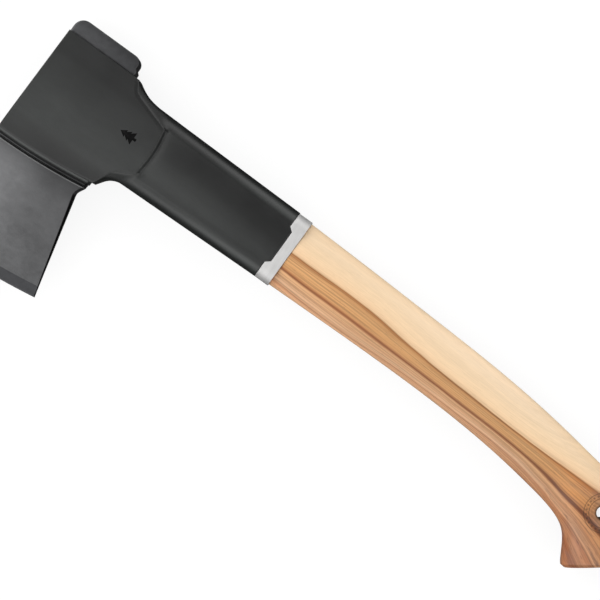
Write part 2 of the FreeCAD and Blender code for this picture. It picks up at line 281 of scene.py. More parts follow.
def inside_of(points, path):
    """Distance of each point of a grid from a dense path, positive to the left of its direction."""
    flat = points.reshape(-1, 2)
    nearest = np.full(len(flat), np.inf)
    signed = np.zeros(len(flat))
    for a, b in zip(path, path[1:]):
        run = b - a
        if run @ run < TINY:
            continue
        share = np.clip(((flat - a) @ run) / (run @ run), 0.0, 1.0)
        gap = flat - (a + share[:, None] * run)
        distance = np.linalg.norm(gap, axis=1)
        left = run[0] * gap[:, 1] - run[1] * gap[:, 0] >= 0.0
        closer = distance < nearest
        nearest = np.where(closer, distance, nearest)
        signed = np.where(closer, np.where(left, distance, -distance), signed)
    return signed.reshape(points.shape[:-1])


def patch(left, right, bottom, top):
    """Grid between four edge curves: rows go with left and right, columns with bottom and top."""
    across = lengths_along(bottom)
    up = lengths_along(left)
    s = (across / across[-1])[None, :, None]
    t = (up / up[-1])[:, None, None]
    sides = (1.0 - s) * left[:, None, :] + s * right[:, None, :]
    ends = (1.0 - t) * bottom[None, :, :] + t * top[None, :, :]
    corners = (1.0 - s) * (1.0 - t) * bottom[0] + s * (1.0 - t) * bottom[-1]
    corners = corners + (1.0 - s) * t * top[0] + s * t * top[-1]
    return sides + ends - corners


def grid_faces(rows, columns, first=0):
    """Quads of a grid whose points are numbered row by row."""
    faces = []
    for row in range(rows - 1):
        for column in range(columns - 1):
            here = first + row * columns + column
            faces.append((here, here + 1, here + columns + 1, here + columns))
    return faces


def tube_faces(loops, count, first=0):
    """Quads between closed loops of points that are numbered loop by loop."""
    faces = []
    for loop in range(loops - 1):
        for step in range(count):
            a = first + loop * count + step
            b = first + loop * count + (step + 1) % count
            faces.append((a, b, b + count, a + count))
    return faces


def add_piece(name, points, faces, material, node, slot):
    """A mesh piece from points in millimetres, which rides on the body and may stand for a CAD node."""
    mesh = bpy.data.meshes.new(name)
    placed = np.array(points, float) * MM + SHIFT
    mesh.from_pydata([tuple(p) for p in placed], [], [tuple(int(i) for i in f) for f in faces])
    mesh.validate()
    mesh.update()
    piece = bpy.data.objects.new(name, mesh)
    bpy.context.scene.collection.objects.link(piece)
    tidy_mesh(mesh)
    mesh.materials.append(material)
    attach(piece, BODY)
    if node:
        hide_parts(node)
    return piece


def tidy_mesh(mesh):
    """Joins doubled points, drops empty faces, points the faces outwards and shades smooth."""
    work = bmesh.new()
    work.from_mesh(mesh)
    unused = [corner for corner in work.verts if not corner.link_faces]
    bmesh.ops.delete(work, geom=unused, context="VERTS")
    bmesh.ops.remove_doubles(work, verts=work.verts, dist=DOUBLED_WITHIN * MM)
    bmesh.ops.dissolve_degenerate(work, edges=work.edges, dist=EMPTY_WITHIN * MM)
    bmesh.ops.recalc_face_normals(work, faces=work.faces)
    for face in work.faces:
        face.smooth = True
    work.to_mesh(mesh)
    work.free()


# ---- shared curves ----

def rim_y(x, outset=0.0):
    """Height of the holder's lower rim at x, or of the curve this far outside it."""
    return RIM_CENTRE[1] - np.sqrt((RIM_RADIUS + outset) ** 2 - (x - RIM_CENTRE[0]) ** 2)


def edge_centre():
    """Centre of the cutting edge's arc."""
    x, y = BLADE_HEEL
    return (x - EDGE_RADIUS * math.sin(EDGE_HEEL_SLOPE), y + EDGE_RADIUS * math.cos(EDGE_HEEL_SLOPE))


def edge_y(x, inset=0.0):
    """Height of the cutting edge at x, or of the curve this far inside it."""
    centre = edge_centre()
    return centre[1] - np.sqrt((EDGE_RADIUS - inset) ** 2 - (x - centre[0]) ** 2)


def neck_top(x):
    return NECK_TOP_Y - NECK_TOP_TAPER * (x - NECK_START_X) / (NECK_END_X - NECK_START_X)


def neck_bottom(x):
    return NECK_BOTTOM_Y + NECK_BOTTOM_TAPER * (x - NECK_START_X) / (NECK_END_X - NECK_START_X)


def tongue_reach(y):
    """How far the holder's tongue reaches past the end of the neck at y."""
    above = (y - TONGUE_TOP_Y) / TONGUE_FLARE
    below = (TONGUE_BOTTOM_Y - y) / TONGUE_FLARE
    return TONGUE_LENGTH * np.clip(1.0 - np.maximum(above, below), 0.0, 1.0)


# ---- holder ----

# Points along its curves, and how its skin's rows and columns are spaced: distances from the
# edge that a list starts at, then an even pitch
RIM_POINTS = 80
NECK_END_POINTS = 400
LIP_ROWS = [0.0, 0.15, 0.6, 1.1, 1.25, 1.7, 2.1]
LOWER_ROWS = [0.0, 0.12, 0.45, 1.0, 1.8, 2.8, 4.0, 5.4, 7.0, 9.0]
UPPER_ROWS = [0.0, 0.1, 0.25, 0.5, 0.9, 1.6, 2.6, 3.8, 5.2, 7.0, 9.0]
ROW_PITCH = 0.8
FRONT_COLUMNS = [0.0, 0.08, 0.2, 0.4, 0.7]
REAR_COLUMNS = [0.0, 0.2, 0.45, 0.75, 1.05, 1.35, 1.65, 2.0, 2.5, 3.1, 3.8, 4.6, 5.5, 6.6]
CHEEK_PITCH = 1.6
NECK_COLUMNS = [0.0, 0.25, 0.5, 0.8, 1.1, 1.4, 1.8, 2.2, 2.7, 3.3, 4.0, 4.8, 5.7, 6.7, 7.8, 9.0]
NECK_END_COLUMNS = [0.0, 0.1, 0.25, 0.5, 0.9, 1.6]
NECK_PITCH = 1.7
FIRST_NECK_ROW = len(LIP_ROWS) + 1
FRONT_ROW_GAP = 0.25
WALL_SHARES = (0.6, 0.2, -0.2, -0.6)


def holder_curves():
    """The holder's outline in pieces: front, rim, heel, panel rear, neck bottom, end, neck top, seam."""
    upper_x, upper_radius = UPPER_HOLLOW
    lower_x, lower_radius = LOWER_HOLLOW
    upper_hollow = (upper_x, neck_top(upper_x), upper_radius)
    lower_hollow = (lower_x, neck_bottom(lower_x), lower_radius)
    seam_front = (HOLDER_FRONT_X + HOLDER_FRONT_LEAN, SEAM_Y)
    seam_rear = (SEAM_REAR_X, SEAM_Y)
    rim_x = np.linspace(HOLDER_FRONT_X, HOLDER_HEEL_X, RIM_POINTS)
    end_y = np.linspace(neck_bottom(NECK_END_X), neck_top(NECK_END_X), NECK_END_POINTS)
    return {
        "front": rounded([(HOLDER_FRONT_X, RIM_FRONT_Y), seam_front]),
        "rim": np.column_stack([rim_x, rim_y(rim_x)]),
        "heel": rounded([(HOLDER_HEEL_X, rim_y(HOLDER_HEEL_X)), (HOLDER_HEEL_X, HOLDER_TIP[1])]),
        "panel": rounded(PANEL_REAR),
        "bottom": rounded([HOLDER_TIP, lower_hollow, (NECK_END_X, neck_bottom(NECK_END_X))]),
        "end": np.column_stack([NECK_END_X + tongue_reach(end_y), end_y]),
        "top": rounded([seam_rear, upper_hollow, (NECK_END_X, neck_top(NECK_END_X))]),
        "seam": rounded([seam_front, seam_rear]),
    }


def cheek_half(points):
    """Half thickness that the cheeks allow: flat, then curving in to the bevelled lip at the rim."""
    inset = RIM_RADIUS - np.hypot(points[..., 0] - RIM_CENTRE[0], points[..., 1] - RIM_CENTRE[1])
    drop = PANEL_HALF - LIP_HALF
    radius = (CHEEK_CURVE ** 2 + drop ** 2) / (2.0 * drop)
    past = np.clip(LIP_WIDTH + CHEEK_CURVE - inset, 0.0, CHEEK_CURVE)
    curved = PANEL_HALF - radius + np.sqrt(radius ** 2 - past ** 2)
    lip = LIP_HALF - (LIP_WIDTH - inset) * LIP_FLAT_DROP / LIP_FLAT_WIDTH
    bevel_width = LIP_WIDTH - LIP_FLAT_WIDTH
    bevel_rise = LIP_HALF - LIP_FLAT_DROP - RIM_HALF
    bevel = RIM_HALF + bevel_rise * np.maximum(inset, 0.0) / bevel_width
    half = np.where(inset < LIP_WIDTH, np.minimum(lip, bevel), curved)
    return np.where(points[..., 0] < NECK_START_X, half, PANEL_HALF)


def run_on(path, length):
    """A path with its last run made longer by this length."""
    last = path[-1] + unit(path[-1] - path[-2]) * length
    return np.vstack([path, last])


def panel_borders():
    """The panel's lower side, its end across the neck and its upper side, each past its corners."""
    lower = run_on(rounded([c[:2] if c is PANEL_REAR[2] else c for c in PANEL_REAR[:3]]), PANEL_RUN_ON)
    middle = rounded([PANEL_REAR[2][:2], PANEL_REAR[3], PANEL_REAR[4][:2]])
    end = run_on(run_on(middle, PANEL_RUN_ON)[::-1], PANEL_RUN_ON)[::-1]
    upper_corners = PANEL_REAR[:3:-1]
    upper = run_on(rounded([*upper_corners[:-1], upper_corners[-1][:2]]), PANEL_RUN_ON)
    return lower, end, upper[::-1]


def crest(inside):
    """Height of the soft crest along a side of the panel, rising again inside it to leave the face be."""
    start = PANEL_CREST_INSET
    reach = PANEL_CREST_RADIUS * math.sin(PANEL_SIDE_TILT)
    run = np.clip(start - inside, 0.0, reach)
    top = PANEL_HALF - PANEL_CREST_RADIUS + np.sqrt(PANEL_CREST_RADIUS ** 2 - run ** 2)
    top = top + np.maximum(inside - start, 0.0)
    return top - math.tan(PANEL_SIDE_TILT) * np.maximum(start - inside - reach, 0.0)


def panel_half(grid, borders):
    """Half thickness that the panel gives: soft crests at its sides and a chamfer at its end."""
    lower, end, upper = borders
    to_end = inside_of(grid, end)
    chamfer = PANEL_HALF - PANEL_CHAMFER + PANEL_END_SLOPE * to_end
    half = soft_min(chamfer, PANEL_HALF, PANEL_SOFTNESS)
    half = soft_min(half, crest(inside_of(grid, lower)), PANEL_SOFTNESS)
    return soft_min(half, crest(inside_of(grid, upper)), PANEL_SOFTNESS)


def valley(past_end, y):
    """Depth of the shallow valley in the neck just past the panel's end."""
    share = np.maximum(past_end, 0.0) / VALLEY_REACH
    width = np.clip(1.0 - (np.abs(y) / VALLEY_HALF_WIDTH) ** 4, 0.0, 1.0)
    return VALLEY_DEPTH * share * np.exp(1.0 - share) * width ** 2


def cheek_grid(curves):
    """Points of the cheek's upper skin, in rows from the rim up to the seam."""
    heel = curves["heel"]
    heel_length = lengths_along(heel)[-1]
    panel = curves["panel"]
    panel_length = lengths_along(panel)[-1]
    panel_rows = spread(LOWER_ROWS, panel_length, UPPER_ROWS, pitch=ROW_PITCH)
    heel_points = at_lengths(heel, np.array([*LIP_ROWS, heel_length]))
    right = np.vstack([heel_points, at_lengths(panel, panel_rows)])
    front = curves["front"]
    low = heel_length + FRONT_ROW_GAP
    upper = low + (lengths_along(front)[-1] - low) * (panel_rows / panel_length)
    left = at_lengths(front, np.concatenate([LIP_ROWS, [heel_length], upper]))

    seam_length = SEAM_REAR_X - HOLDER_FRONT_X - HOLDER_FRONT_LEAN
    shares = spread(FRONT_COLUMNS, seam_length, REAR_COLUMNS, pitch=CHEEK_PITCH) / seam_length
    rim = curves["rim"]
    bottom = at_lengths(rim, shares * lengths_along(rim)[-1])
    return patch(left, right, bottom, at_lengths(curves["seam"], shares * seam_length))


def neck_grid(curves, left):
    """Points of the neck's upper skin, from the cheek's rear edge to the neck's end."""
    end = curves["end"]
    right = at_lengths(end, spread(LOWER_ROWS, lengths_along(end)[-1], UPPER_ROWS, count=len(left)))
    bottom = curves["bottom"]
    top = curves["top"]
    length = lengths_along(bottom)[-1]
    shares = spread(NECK_COLUMNS, length, NECK_END_COLUMNS, pitch=NECK_PITCH) / length
    bottom_edge = at_lengths(bottom, shares * length)
    return patch(left, right, bottom_edge, at_lengths(top, shares * lengths_along(top)[-1]))


def holder_heights(curves, grid, inside_panel):
    """Half thickness of the holder at each point of a grid."""
    borders = panel_borders()
    gaps = [np.abs(inside_of(grid, curves[side])) for side in ("bottom", "top")]
    outline_gap = np.minimum(*gaps)
    panel = panel_half(grid, borders) - edge_drop(outline_gap, PANEL_OUTLINE_RADIUS)
    panel = np.minimum(panel, cheek_half(grid))
    if not inside_panel:
        body = NECK_HALF - edge_drop(outline_gap, NECK_EDGE_RADIUS)
        out = np.minimum(np.abs(grid[..., 1]) / NECK_CROWN_HALF_WIDTH, 1.0)
        body = body - NECK_CROWN * np.sin(0.5 * math.pi * out) ** 2
        body = body - valley(-inside_of(grid, borders[1]), grid[..., 1])
        body = body - edge_drop(NECK_END_X + tongue_reach(grid[..., 1]) - grid[..., 0], NECK_END_RADIUS)
        return np.minimum(soft_max(body, panel, PANEL_SOFTNESS), cheek_half(grid))
    front_x = HOLDER_FRONT_X + HOLDER_FRONT_LEAN * (grid[..., 1] - RIM_FRONT_Y) / (SEAM_Y - RIM_FRONT_Y)
    half = panel - MARK_RISE - edge_drop(grid[..., 0] - front_x, HOLDER_EDGE_RADIUS)
    return half - edge_drop(SEAM_Y - grid[..., 1], SEAM_EDGE_RADIUS)


def holder_mesh():
    """The cheek's and the neck's skins, joined along the cheek's rear edge, and their mirror."""
    curves = holder_curves()
    first = FIRST_NECK_ROW
    cheek = cheek_grid(curves)
    neck = neck_grid(curves, cheek[first:, -1])
    cheek_z = holder_heights(curves, cheek, True)
    neck_z = holder_heights(curves, neck, False)
    rows, columns = cheek_z.shape
    neck_rows, neck_columns = neck_z.shape
    seam_z = np.maximum(cheek_z[first:, -1], neck_z[:, 0])
    cheek_z[first:, -1] = seam_z
    neck_z[:, 0] = seam_z

    points = [(x, y, z) for (x, y), z in zip(cheek.reshape(-1, 2), cheek_z.reshape(-1))]
    faces = grid_faces(rows, columns)
    number = np.arange(rows * columns).reshape(rows, columns)
    neck_number = np.zeros((neck_rows, neck_columns), int)
    neck_number[:, 0] = number[first:, -1]
    for row in range(neck_rows):
        for column in range(1, neck_columns):
            neck_number[row, column] = len(points)
            points.append((*neck[row, column], neck_z[row, column]))
    for row in range(neck_rows - 1):
        for column in range(neck_columns - 1):
            lower = (neck_number[row, column], neck_number[row, column + 1])
            upper = (neck_number[row + 1, column + 1], neck_number[row + 1, column])
            faces.append(lower + upper)
    return closed_between(np.array(points), faces)


def wall_path(x, y, z):
    """Points down the wall from the upper skin's rim to the lower skin's."""
    shelf = COLLAR_HALF - COLLAR_WALL
    if x > NECK_END_X - 0.01:
        level = min(z, shelf)
        return [(x, y, level), (NECK_END_X, y, level), (NECK_END_X, y, -level), (x, y, -level)]
    return [(x, y, z * share) for share in WALL_SHARES]


def closed_between(points, faces):
    """Closes the space between an upper skin and its mirror image with walls round the outline."""
    count = len(points)
    used = {}
    for face in faces:
        for a, b in zip(face, face[1:] + face[:1]):
            used[(a, b)] = True
    border = [(a, b) for a, b in used if (b, a) not in used]
    all_points = [tuple(p) for p in points] + [(x, y, -z) for x, y, z in points]
    all_faces = list(faces) + [tuple(count + i for i in reversed(face)) for face in faces]
    ladder = {}
    for a, b in border:
        for corner in (a, b):
            if corner not in ladder:
                steps = wall_path(*points[corner])
                ladder[corner] = [corner] + list(range(len(all_points), len(all_points) + len(steps)))
                all_points.extend(steps)
                ladder[corner].append(count + corner)
        for upper, lower in zip(range(len(ladder[a]) - 1), range(1, len(ladder[a]))):
            all_faces.append((ladder[b][upper], ladder[a][upper], ladder[a][lower], ladder[b][lower]))
    return all_points, all_faces


# ---- steel head ----

# Its sections: points along a face, down a wall and round an edge
FACE_POINTS = 34
WALL_POINTS = 5
CORNER_STEPS = 5

# Its long edges: the blade's get narrower towards the cutting edge and drop less where the
# steel is thin. A second line of points, inside by the crease, keeps an edge crisp.
BLADE_EDGE_SHARE = 0.35
THIN_EDGE = 1.6
GROUND_EDGE_SLOPE = 1.3
EDGE_CREASE = 0.2
BEVEL_SOFTNESS = 0.06

# Distances of the blade's sections from its edge: over the bevel, then evenly up the face
BEVEL_INSETS = [EDGE_LAND, 0.8, 1.8, 3.0, 4.2, 5.4, 6.2, 6.55, 6.7, 6.8, 6.9, 7.05, 7.4, 8.2]
FACE_INSET = 9.5
FACE_ROWS = 44

# Heights of the poll's sections: above the seam, then below the flat top
POLL_RISES = [0.0, 0.1, 1.0, 1.8, 2.3, 2.5, 2.7, 3.2, 3.7, 3.9, 4.1]
POLL_DROPS = [5.6, 4.9, 4.2, 3.5, 2.9, 2.3, 1.8, 1.4, 1.0, 0.75, 0.5, 0.3, 0.15, 0.05, 0.0]

# The groove between the blade's face and the band of steel at the rim: distance outside
# the rim and depth, from the blade's rounded top edge to inside the holder
GROOVE = [
    (3.3, 0.0),
    (3.0, 0.0),
    (2.75, 0.02),
    (2.5, 0.07),
    (2.3, 0.17),
    (2.15, 0.35),
    (2.05, 0.65),
    (1.95, 1.0),
    (1.85, 1.2),
    (1.6, 1.25),
    (1.4, 1.2),
    (1.3, 0.9),
    (1.2, 0.45),
    (1.1, 0.15),
    (0.9, 0.03),
    (0.6, 0.0),
    (-0.5, 0.0),
    (-3.0, 0.0),
]


def ground_drop(gap, corner):
    """How far a steeply ground edge has dropped at this distance inside the outline."""
    return GROUND_EDGE_SLOPE * np.maximum(corner - gap, 0.0)


def head_loop(front, rear, y_at, half_at, corner, drop=edge_drop):
    """One closed section of the head, from the front wall over the upper face and back below."""
    angles = np.linspace(0.0, 0.5 * math.pi, CORNER_STEPS + 1)
    rise = corner * (1.0 - np.cos(angles))
    inner = np.linspace(front + corner + EDGE_CREASE, rear - corner - EDGE_CREASE, FACE_POINTS - 2)
    inner = np.concatenate([[front + corner], inner, [rear - corner]])
    x = np.concatenate([front + rise[:-1], inner, rear - rise[:-1][::-1]])
    y = y_at(x)
    gap = np.minimum(x - front, rear - x)
    half = half_at(x, y)
    z = half - drop(gap, corner) * np.minimum(1.0, half / max(corner * THIN_EDGE, TINY))
    upper = np.column_stack([x, y, z])
    loop = [tuple(p) for p in upper]
    for share in np.linspace(1.0, -1.0, WALL_POINTS + 2)[1:-1]:
        loop.append((x[-1], y[-1], z[-1] * share))
    loop.extend((px, py, -pz) for px, py, pz in upper[::-1])
    for share in np.linspace(-1.0, 1.0, WALL_POINTS + 2)[1:-1]:
        loop.append((x[0], y[0], z[0] * share))
    return loop


def blade_half(x, y):
    """Half thickness of the blade: a bevel at the edge, then a slow taper up to the root."""
    centre = edge_centre()
    inset = EDGE_RADIUS - np.hypot(x - centre[0], y - centre[1])
    root = edge_inset_of_root()
    bevel = BEVEL_HALF * inset / BEVEL_WIDTH
    taper = BEVEL_HALF + (BLADE_ROOT_HALF - BEVEL_HALF) * (inset - BEVEL_WIDTH) / (root - BEVEL_WIDTH)
    return soft_min(bevel, taper, BEVEL_SOFTNESS)


def edge_inset_of_root():
    """Distance from the cutting edge to the blade's root, halfway along it."""
    centre = edge_centre()
    middle = 0.5 * (BLADE_FRONT_X + BLADE_HEEL_ROOT[0])
    return EDGE_RADIUS - (centre[1] - rim_y(middle, SHOULDER_HEIGHT))


def blade_loop(row_y, depth=0.0):
    """A section of the blade along this curve, sunk below the blade's face by a depth."""
    heel_end = (SHOULDER_REAR_X, float(rim_y(SHOULDER_REAR_X, SHOULDER_HEIGHT)))
    heel = rounded([BLADE_HEEL, BLADE_HEEL_ROOT, heel_end, (SHOULDER_REAR_X, SHOULDER_TOP_Y)])
    front_y = [float(edge_y(BLADE_TOE_X)), BLADE_FRONT_ROOT_Y, SHOULDER_TOP_Y]
    front_x = [BLADE_TOE_X, BLADE_FRONT_X, SHOULDER_FRONT_X]
    front = BLADE_TOE_X
    rear = BLADE_HEEL[0]
    for _ in range(20):
        front = np.interp(row_y(front), front_y, front_x)
        rear = np.interp(row_y(rear), heel[:, 1], heel[:, 0])
    middle = 0.5 * (front + rear)
    inset = EDGE_RADIUS - math.hypot(middle - edge_centre()[0], row_y(middle) - edge_centre()[1])
    corner = min(BLADE_EDGE, BLADE_EDGE_SHARE * inset)
    return head_loop(front, rear, row_y, lambda x, y: blade_half(x, y) - depth, corner, ground_drop)


def blade_loops():
    """Sections from the cutting edge to the steel that the holder hides."""
    root = edge_inset_of_root()
    groove_start = root + SHOULDER_HEIGHT - GROOVE[0][0]
    insets = np.concatenate([BEVEL_INSETS, np.linspace(FACE_INSET, groove_start, FACE_ROWS)])
    loops = []
    for inset in insets:
        share = (inset / root) ** 3
        rise = SHOULDER_HEIGHT + root - inset
        loops.append(blade_loop(lambda x: edge_y(x, inset) * (1.0 - share) + rim_y(x, rise) * share))
    for outset, depth in GROOVE[1:]:
        loops.append(blade_loop(lambda x: rim_y(x, outset), depth))
    return loops


def head_mesh():
    """Blade, hidden waist and poll as one stack of sections."""
    loops = blade_loops()
    loops.append(flat_loop(SHOULDER_FRONT_X, SHOULDER_REAR_X, SHOULDER_TOP_Y, SHOULDER_HALF, BLADE_EDGE))
    waist_front = HOLDER_FRONT_X + WAIST_INSET
    waist_rear = POLL_REAR_X - WAIST_INSET
    loops.append(flat_loop(waist_front, waist_rear, SHOULDER_TOP_Y + 0.01, WAIST_HALF, BLADE_EDGE))
    loops.append(flat_loop(waist_front, waist_rear, SEAM_Y - 0.01, WAIST_HALF, BLADE_EDGE))
    loops.extend(poll_loops())
    count = len(loops[0])
    points = [p for loop in loops for p in loop]
    faces = tube_faces(len(loops), count)
    faces.append(tuple(range(count))[::-1])
    last = (len(loops) - 1) * count
    faces.append(tuple(range(last, last + count)))
    return points, faces


def flat_loop(front, rear, y, half, corner):
    return head_loop(front, rear, lambda x: np.full_like(x, y), lambda x, _: np.full_like(x, half), corner)


def poll_loops():
    """Sections of the poll from the seam to its flat top."""
    heights = [SEAM_Y + rise for rise in POLL_RISES] + [POLL_Y - drop for drop in POLL_DROPS]
    loops = []
    for y in heights:
        down = POLL_Y - y
        front = POLL_FRONT_X + edge_drop(np.array(down), POLL_FRONT_RADIUS)
        rear = POLL_REAR_X - edge_drop(np.array(down), POLL_REAR_RADIUS)
        step = np.clip((POLL_BAND_Y - y) / POLL_BAND_STEP, 0.0, 1.0) * POLL_BAND_STEP
        half = POLL_HALF - edge_drop(np.array(down), POLL_EDGE)
        half = half - edge_drop(np.array(y - SEAM_Y), SEAM_EDGE_RADIUS)
        loops.append(flat_loop(float(front), float(rear + step), y, float(half), POLL_EDGE))
    return loops


# ---- rounded rectangles across the handle ----

def ring_loop(half_width, half, radius, flat_points=60, arc_points=12):
    """(y, z) points round a rounded rectangle, all loops of one size matching point for point."""
    points = []
    spans = [
        (half_width - radius, half - radius, 0.0),
        (radius - half_width, half - radius, 90.0),
        (radius - half_width, radius - half, 180.0),
        (half_width - radius, radius - half, 270.0),
    ]
    for index, (y, z, start) in enumerate(spans):
        for step in range(arc_points + 1):
            angle = math.radians(start + 90.0 * step / arc_points)
            points.append((y + radius * math.cos(angle), z + radius * math.sin(angle)))
        end = points[-1]
        next_y, next_z, next_start = spans[(index + 1) % 4]
        angle = math.radians(next_start)
        to = (next_y + radius * math.cos(angle), next_z + radius * math.sin(angle))
        for step in range(1, flat_points):
            share = step / flat_points
            points.append((end[0] + (to[0] - end[0]) * share, end[1] + (to[1] - end[1]) * share))
    return np.array(points)


# Steps round the collar's broken edges, and the places of its loops between the two ends
BREAK_STEPS = 4
COLLAR_SHARES = (0.2, 0.4, 0.6, 0.8)


def collar_mesh():
    """The ring, open in the middle, with a notch for each of the holder's tongues."""
    outer = ring_loop(COLLAR_HALF_WIDTH, COLLAR_HALF, COLLAR_EDGE_RADIUS)
    flat = np.abs(outer[:, 1]) > COLLAR_HALF - 0.01
    notch = np.where(flat, tongue_reach(outer[:, 0]), 0.0)
    notch = notch + np.where(notch > 0.0, TONGUE_GAP, 0.0)
    angles = np.linspace(0.0, 0.5 * math.pi, BREAK_STEPS + 1)
    front = [(COLLAR_BREAK * (1.0 - math.sin(a)), COLLAR_BREAK * (1.0 - math.cos(a))) for a in angles]
    loops = []
    for x, inset in [(0.0, COLLAR_WALL)] + front[::-1]:
        loops.append((x, inset, "front"))
    for share in COLLAR_SHARES:
        loops.append((share, 0.0, "middle"))
    for x, inset in front:
        loops.append((-x, inset, "rear"))
    loops.append((0.0, COLLAR_WALL, "rear"))
    points = []
    for x, inset, where in loops:
        section = ring_loop(COLLAR_HALF_WIDTH - inset, COLLAR_HALF - inset, COLLAR_EDGE_RADIUS - inset)
        start = NECK_END_X + notch
        if where == "front":
            along = start + x
        elif where == "rear":
            along = np.full(len(section), COLLAR_END_X + x)
        else:
            along = start + (COLLAR_END_X - start) * x
        points.extend((a, y, z) for a, (y, z) in zip(along, section))
    count = len(outer)
    faces = tube_faces(len(loops), count)
    last = (len(loops) - 1) * count
    for step in range(count):
        after = (step + 1) % count
        faces.append((last + step, last + after, after, step))
    return points, faces


# ---- handle ----

# Its sections: points round each one, and their distances from the collar
AROUND = 96
TENON_POWER = 5.0
FIRST_SECTIONS = [0.0, 0.15, 0.4, 0.9]
EVEN_FROM = 2.0
EVEN_SECTIONS = 190

# The knob's end loops: how far out past the last section and how far in from its outline
KNOB_END = [(0.15, 0.2), (0.9, 0.95), (1.5, 1.6), (1.75, 1.95), (1.8, 2.6)]

# The hole opens a square of this many grid steps each way, and the grid is drawn in round it
# out to the second number. Its loops go down the mouth, round the bend and down the wall.
HOLE_RING = 5
HOLE_REACH = 13
MOUTH_SHARES = [0.96, 0.85, 0.7, 0.55, 0.42, 0.32]
BEND_TURNS = [20.0, 40.0, 65.0, 90.0]
BEND_STRETCH = 1.6
WALL_HEIGHTS = [9.0, 5.5, 2.0]


def natural_spline(knots, values, wanted):
    """Smooth curve through values at knots, read at the wanted places."""
    n = len(knots)
    step = np.diff(knots)
    matrix = np.eye(n)
    slopes = np.diff(values, axis=0) / step[:, None]
    right = np.zeros((n, values.shape[1]))
    for i in range(1, n - 1):
        matrix[i, i - 1] = step[i - 1]
        matrix[i, i] = 2.0 * (step[i - 1] + step[i])
        matrix[i, i + 1] = step[i]
        right[i] = 3.0 * (slopes[i] - slopes[i - 1])
    bend = np.linalg.solve(matrix, right)
    place = np.clip(np.searchsorted(knots, wanted, side="right") - 1, 0, n - 2)
    t = (wanted - knots[place])[:, None]
    h = step[place][:, None]
    c0 = bend[place]
    c1 = bend[place + 1]
    slope = slopes[place] - h * (2.0 * c0 + c1) / 3.0
    return values[place] + slope * t + c0 * t ** 2 + (c1 - c0) / (3.0 * h) * t ** 3


def superellipse(half_width, half, power):
    """Two coordinates of points round an oval, which is squarer with a higher power."""
    angle = 2.0 * math.pi * np.arange(AROUND) / AROUND
    c = np.cos(angle)
    s = np.sin(angle)
    across = np.sign(c) * np.abs(c) ** (2.0 / power) * half_width
    return across, np.sign(s) * np.abs(s) ** (2.0 / power) * half


def oval(back, belly, half, shrink=0.0):
    """Points round one oval section of the handle."""
    middle = 0.5 * (back + belly)
    across = 0.5 * (back - belly)
    width = np.linalg.norm(across)
    across = across / width
    reach, height = superellipse(width - shrink, half - shrink, SECTION_POWER)
    flat = middle[None, :] + across[None, :] * reach[:, None]
    return np.column_stack([flat, height])


def handle_sections():
    """Sections of the grip and knob, from the collar to the end."""
    values = np.array([[*back, *belly, half] for back, belly, half in HANDLE_STATIONS])
    middles = 0.5 * (values[:, :2] + values[:, 2:4])
    knots = lengths_along(middles)
    wanted = np.concatenate([FIRST_SECTIONS, np.linspace(EVEN_FROM, knots[-1], EVEN_SECTIONS)])
    smooth = natural_spline(knots, values, wanted)
    sections = []
    for place, row in zip(wanted, smooth):
        shrink = float(edge_drop(np.array(place), WOOD_BREAK))
        sections.append(oval(row[:2], row[2:4], row[4], shrink))
    back, belly = (np.array(side) for side in HANDLE_STATIONS[-1][:2])
    half = HANDLE_STATIONS[-1][2]
    along = unit(back - belly)
    outward = np.array([along[1], -along[0]])
    for out, shrink in KNOB_END:
        section = oval(back, belly, half, shrink)
        section[:, :2] += outward * out
        sections.append(section)
    return sections


def tenon_section(x, half_width, half):
    """A squarish section across the handle, matching the oval ones point for point."""
    return np.column_stack([np.full(AROUND, x), *superellipse(half_width, half, TENON_POWER)])


def tenon_sections():
    """Sections of the hidden tenon, from its tip to the shoulder behind the collar."""
    root_half_width = COLLAR_HALF_WIDTH - COLLAR_WALL
    root_half = COLLAR_HALF - COLLAR_WALL
    taper_half_width = root_half_width - TENON_STEP
    taper_half = root_half - TENON_STEP
    return [
        tenon_section(SOCKET_START_X, TENON_TIP_HALF_WIDTH - 1.0, TENON_TIP_HALF - 1.0),
        tenon_section(SOCKET_START_X + 1.0, TENON_TIP_HALF_WIDTH, TENON_TIP_HALF),
        tenon_section(NECK_END_X, taper_half_width, taper_half),
        tenon_section(NECK_END_X, root_half_width, root_half),
        tenon_section(COLLAR_END_X, root_half_width, root_half),
    ]


def ring_of(centre, reach):
    """Grid places on the square ring this many steps round a centre, in order round it."""
    i, j = centre
    places = [(i - reach, j + step) for step in range(-reach, reach)]
    places += [(i + step, j + reach) for step in range(-reach, reach)]
    places += [(i + reach, j - step) for step in range(-reach, reach)]
    places += [(i - step, j - reach) for step in range(-reach, reach)]
    return places


